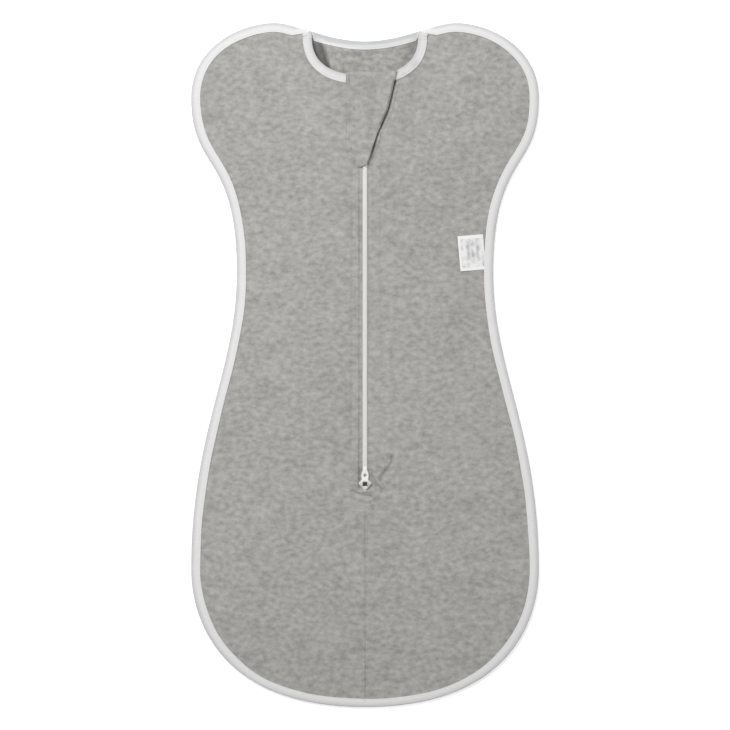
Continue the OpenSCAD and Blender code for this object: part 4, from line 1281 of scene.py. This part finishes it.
def label_material():
    """White ribbon with a woven rim and faint grey bars across it, where a label's lines would be."""
    made, surface, start = new_material("care_ribbon", Roughness=0.6)
    along, across = axes(start, start.node("ShaderNodeUVMap", {"uv_map": "Along"}), 2)
    inside = along.eased(2.4, 3.4) * (1.0 - along.eased(27.6, 28.6))
    inside = inside * across.eased(0.4, 1.4) * (1.0 - across.eased(20.6, 21.6))
    row = ((across * (2 * np.pi / BAR_GAP)).wave() * 1.5 + 0.4).most(0.0).least(1.0)
    broken = ((noise(start, 190.0, 120.0, 0.0) - 0.4) * 4.0).most(0.0).least(1.0)
    ink = inside * (0.08 + broken * 0.45 + row * broken * 0.4)
    link(start, mixed(start, ink, opaque(RIBBON_WHITE), opaque(BAR_GREY)), surface, "Base Color")
    weave = noise(start, 1500.0, 1500.0, 1500.0, detail=1.0)
    bump(start, surface, weave, 0.25, 0.0001)
    return made


ribbon = label_material()
print("all materials, with the packed model's own:", len(bpy.data.materials))

# %% [markdown]
# ## Joining the looks to the packed model
# Each piece gets its finish, and the packed nodes it stands for are hidden. The pieces off the lapels
# get the body that carries them. The pieces on a lapel are one with the front below it and stay in the
# shared frame, as riding on the lapel alone, they would tear away from the bag there.

# %% Ride and replace
FOLD_RUN, FOLD_FOOT, FOLD_STRIP = (34.0, 321.0), (0.0, -60.0), 8.0


def finish_piece(made, material, slot, *nodes):
    """Gives a piece its material and hides the packed nodes that it stands for; slot is not used."""
    made.data.materials.clear()
    made.data.materials.append(material)
    if nodes:
        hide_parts(*nodes)


def on_lapel(made, side):
    """Works out the directions along and across the lapel's fold line, and bakes the piece's place into its
    points.
    """
    sign = -1 if side == "left" else 1
    along = np.array([FOLD_RUN[0] * sign, FOLD_RUN[1]])
    across = np.array([-sign * along[1], sign * along[0]]) / np.linalg.norm(along)
    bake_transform(made)


print("strip that bends:", FOLD_STRIP, "mm wide")

# %% Pieces on the lapels
for side in ("left", "right"):
    finish_piece(fronts[side], jersey, "jersey", f"front_{side}_panel", f"{side}_lapel")
    finish_piece(neck_tapes[side], neck_binding, "binding",
                 f"{side}_neck_binding", f"{side}_shoulder_binding")
    finish_piece(neck_stitches[side], white_thread, "binding")
    finish_piece(coils[side], coil_white, "coil", f"{side}_coil")
    finish_piece(tapes[side], tape_white, "zip_tape", f"{side}_zip_tape")
    finish_piece(zip_stitches[side], grey_thread, "jersey")
    for pieces in (fronts, neck_tapes, neck_stitches, coils, tapes, zip_stitches):
        on_lapel(pieces[side], side)
print("bent pieces:", 2 * len((fronts, neck_tapes, neck_stitches, coils, tapes, zip_stitches)))

# %% Pieces on the bag, the guard and the sliders
finish_piece(back, inside_jersey, "jersey", "back_panel")
finish_piece(edge_tape, binding, "binding", "edge_binding")
finish_piece(edge_stitches, white_thread, "binding")
finish_piece(back_neck_tape, back_neck_binding, "binding", "back_neck_binding")
finish_piece(back_neck_stitches, white_thread, "binding")
finish_piece(allowance, jersey, "jersey", "centre_seam")
for piece in (back, edge_tape, edge_stitches, back_neck_tape, back_neck_stitches, allowance):
    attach(piece, "bag")

finish_piece(guard, jersey, "jersey", "zip_guard")
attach(guard, "zip_guard")
finish_piece(guard_seam, jersey, "jersey")
finish_piece(guard_stitches, grey_thread, "jersey")
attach(guard_seam, "left_lapel")
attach(guard_stitches, "left_lapel")
finish_piece(label, ribbon, "label", "care_label")
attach(label, "care_label")
for name in ("lower", "upper"):
    finish_piece(metal[name + "_slider"], shaded_body_lacquer, "slider", f"{name}_slider")
    finish_piece(metal[name + "_lock"], lock_shadow_black, "slider")
    finish_piece(metal[name + "_pull"], lacquer_pull, "slider", f"{name}_pull")
    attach(metal[name + "_slider"], f"{name}_slider")
    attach(metal[name + "_lock"], f"{name}_slider")
    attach(metal[name + "_pull"], f"{name}_pull")
for name in ("bottom_stop", "left_top_stop", "right_top_stop"):
    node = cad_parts[name]
    node.data.materials.clear()
    node.data.materials.append(stop_white)
print("pieces of the sliders and pulls:", len(metal))

# %% [markdown]

# %% [markdown]
# ## Table, light and camera
# The camera looks straight down with a long lens from three metres, with the bag's head at the top.
# A white table keeps the bag's own soft shadow. It glows a little to stay white, and this glow also
# lights the faces of the bag that look sideways or down. Shown only to the camera and in reflections,
# as the sky's white is, it would leave the cloth alone. A large soft lamp stands past the head on the
# left, and two weaker distant lights from the left and the right bring out the creases. More light
# would bleach the white tape.

# %% Table and sky
def stage_floor():
    """A wide white table just under the bag, which isn't part of it."""
    bpy.ops.mesh.primitive_plane_add(size=6.0, location=(0, 0, -0.0002))
    floor = bpy.context.object
    floor.name = "table"
    white = new_material("table_white", Base_Color=opaque((0.85,) * 3), Roughness=1.0, Specular_IOR_Level=0.0,
                         Emission_Color=opaque((1.0,) * 3), Emission_Strength=0.42)
    floor.data.materials.append(white[0])


def sky(level):
    """An even white sky of a given level, and plain white to the camera, in gloss and through glass."""
    world = bpy.data.worlds.new("sky")
    bpy.context.scene.world = world
    world.use_nodes = True
    tree = world.node_tree
    tree.nodes.clear()
    start = Value(tree, None)
    seen = start.node("ShaderNodeLightPath", out="Is Camera Ray")
    for ray in ("Is Glossy Ray", "Is Transmission Ray"):
        seen = seen + start.node("ShaderNodeLightPath", out=ray)
    strength = seen.least(1.0) * (1.0 - level) + level
    light = start.node("ShaderNodeBackground", None, {"Color": (1.0, 1.0, 1.0, 1.0), "Strength": strength})
    out = tree.nodes.new("ShaderNodeOutputWorld")
    tree.links.new(light.out, out.inputs["Surface"])


stage_floor()
sky(0.305)
print("world:", bpy.context.scene.world.name)


# %% Lamps
def sun(name, azimuth, elevation, level, angle):
    """A soft distant light: level is the brightness it gives a level white surface."""
    lamp = bpy.data.lights.new(name, "SUN")
    lamp.energy = level * np.pi / np.sin(np.radians(elevation))
    lamp.angle = np.radians(angle)
    made = bpy.data.objects.new(name, lamp)
    made.rotation_euler = (0, np.radians(90 - elevation), np.radians(azimuth))
    bpy.context.scene.collection.objects.link(made)


def softbox(name, place, size, level):
    """A square area light that faces the middle of the bag, where it gives a level white surface this
    brightness."""
    lamp = bpy.data.lights.new(name, "AREA")
    lamp.size = size
    away = np.linalg.norm(place)
    lamp.energy = level * np.pi ** 2 * away ** 2 / (place[2] / away)
    made = bpy.data.objects.new(name, lamp)
    made.location = place
    made.rotation_euler = Vector(place).to_track_quat("Z", "Y").to_euler()
    made.visible_camera = False
    bpy.context.scene.collection.objects.link(made)


softbox("softbox_head", (-0.5, 0.87, 1.5), 0.6, 0.42)
sun("window_left", 170, 38, 0.108, 20)
sun("window_right", 10, 38, 0.12, 20)
print("lamps:", len(bpy.data.lights))

# %% Camera
DISTANCE, FRAME_WIDTH, CLOTH_LEVEL, SENSOR = 3.0, 0.63875, 0.009, 36.0
camera_data = bpy.data.cameras.new("camera")
camera_data.sensor_width = SENSOR
camera_data.clip_end = 20.0
camera_data.lens = SENSOR * (DISTANCE - CLOTH_LEVEL) / FRAME_WIDTH
camera = bpy.data.objects.new("camera", camera_data)
camera.location = (0, 0, DISTANCE)
bpy.context.scene.collection.objects.link(camera)
bpy.context.scene.camera = camera
bpy.context.scene.view_settings.view_transform = "Standard"
print("lens, mm:", round(camera_data.lens, 1))

# %% [markdown]
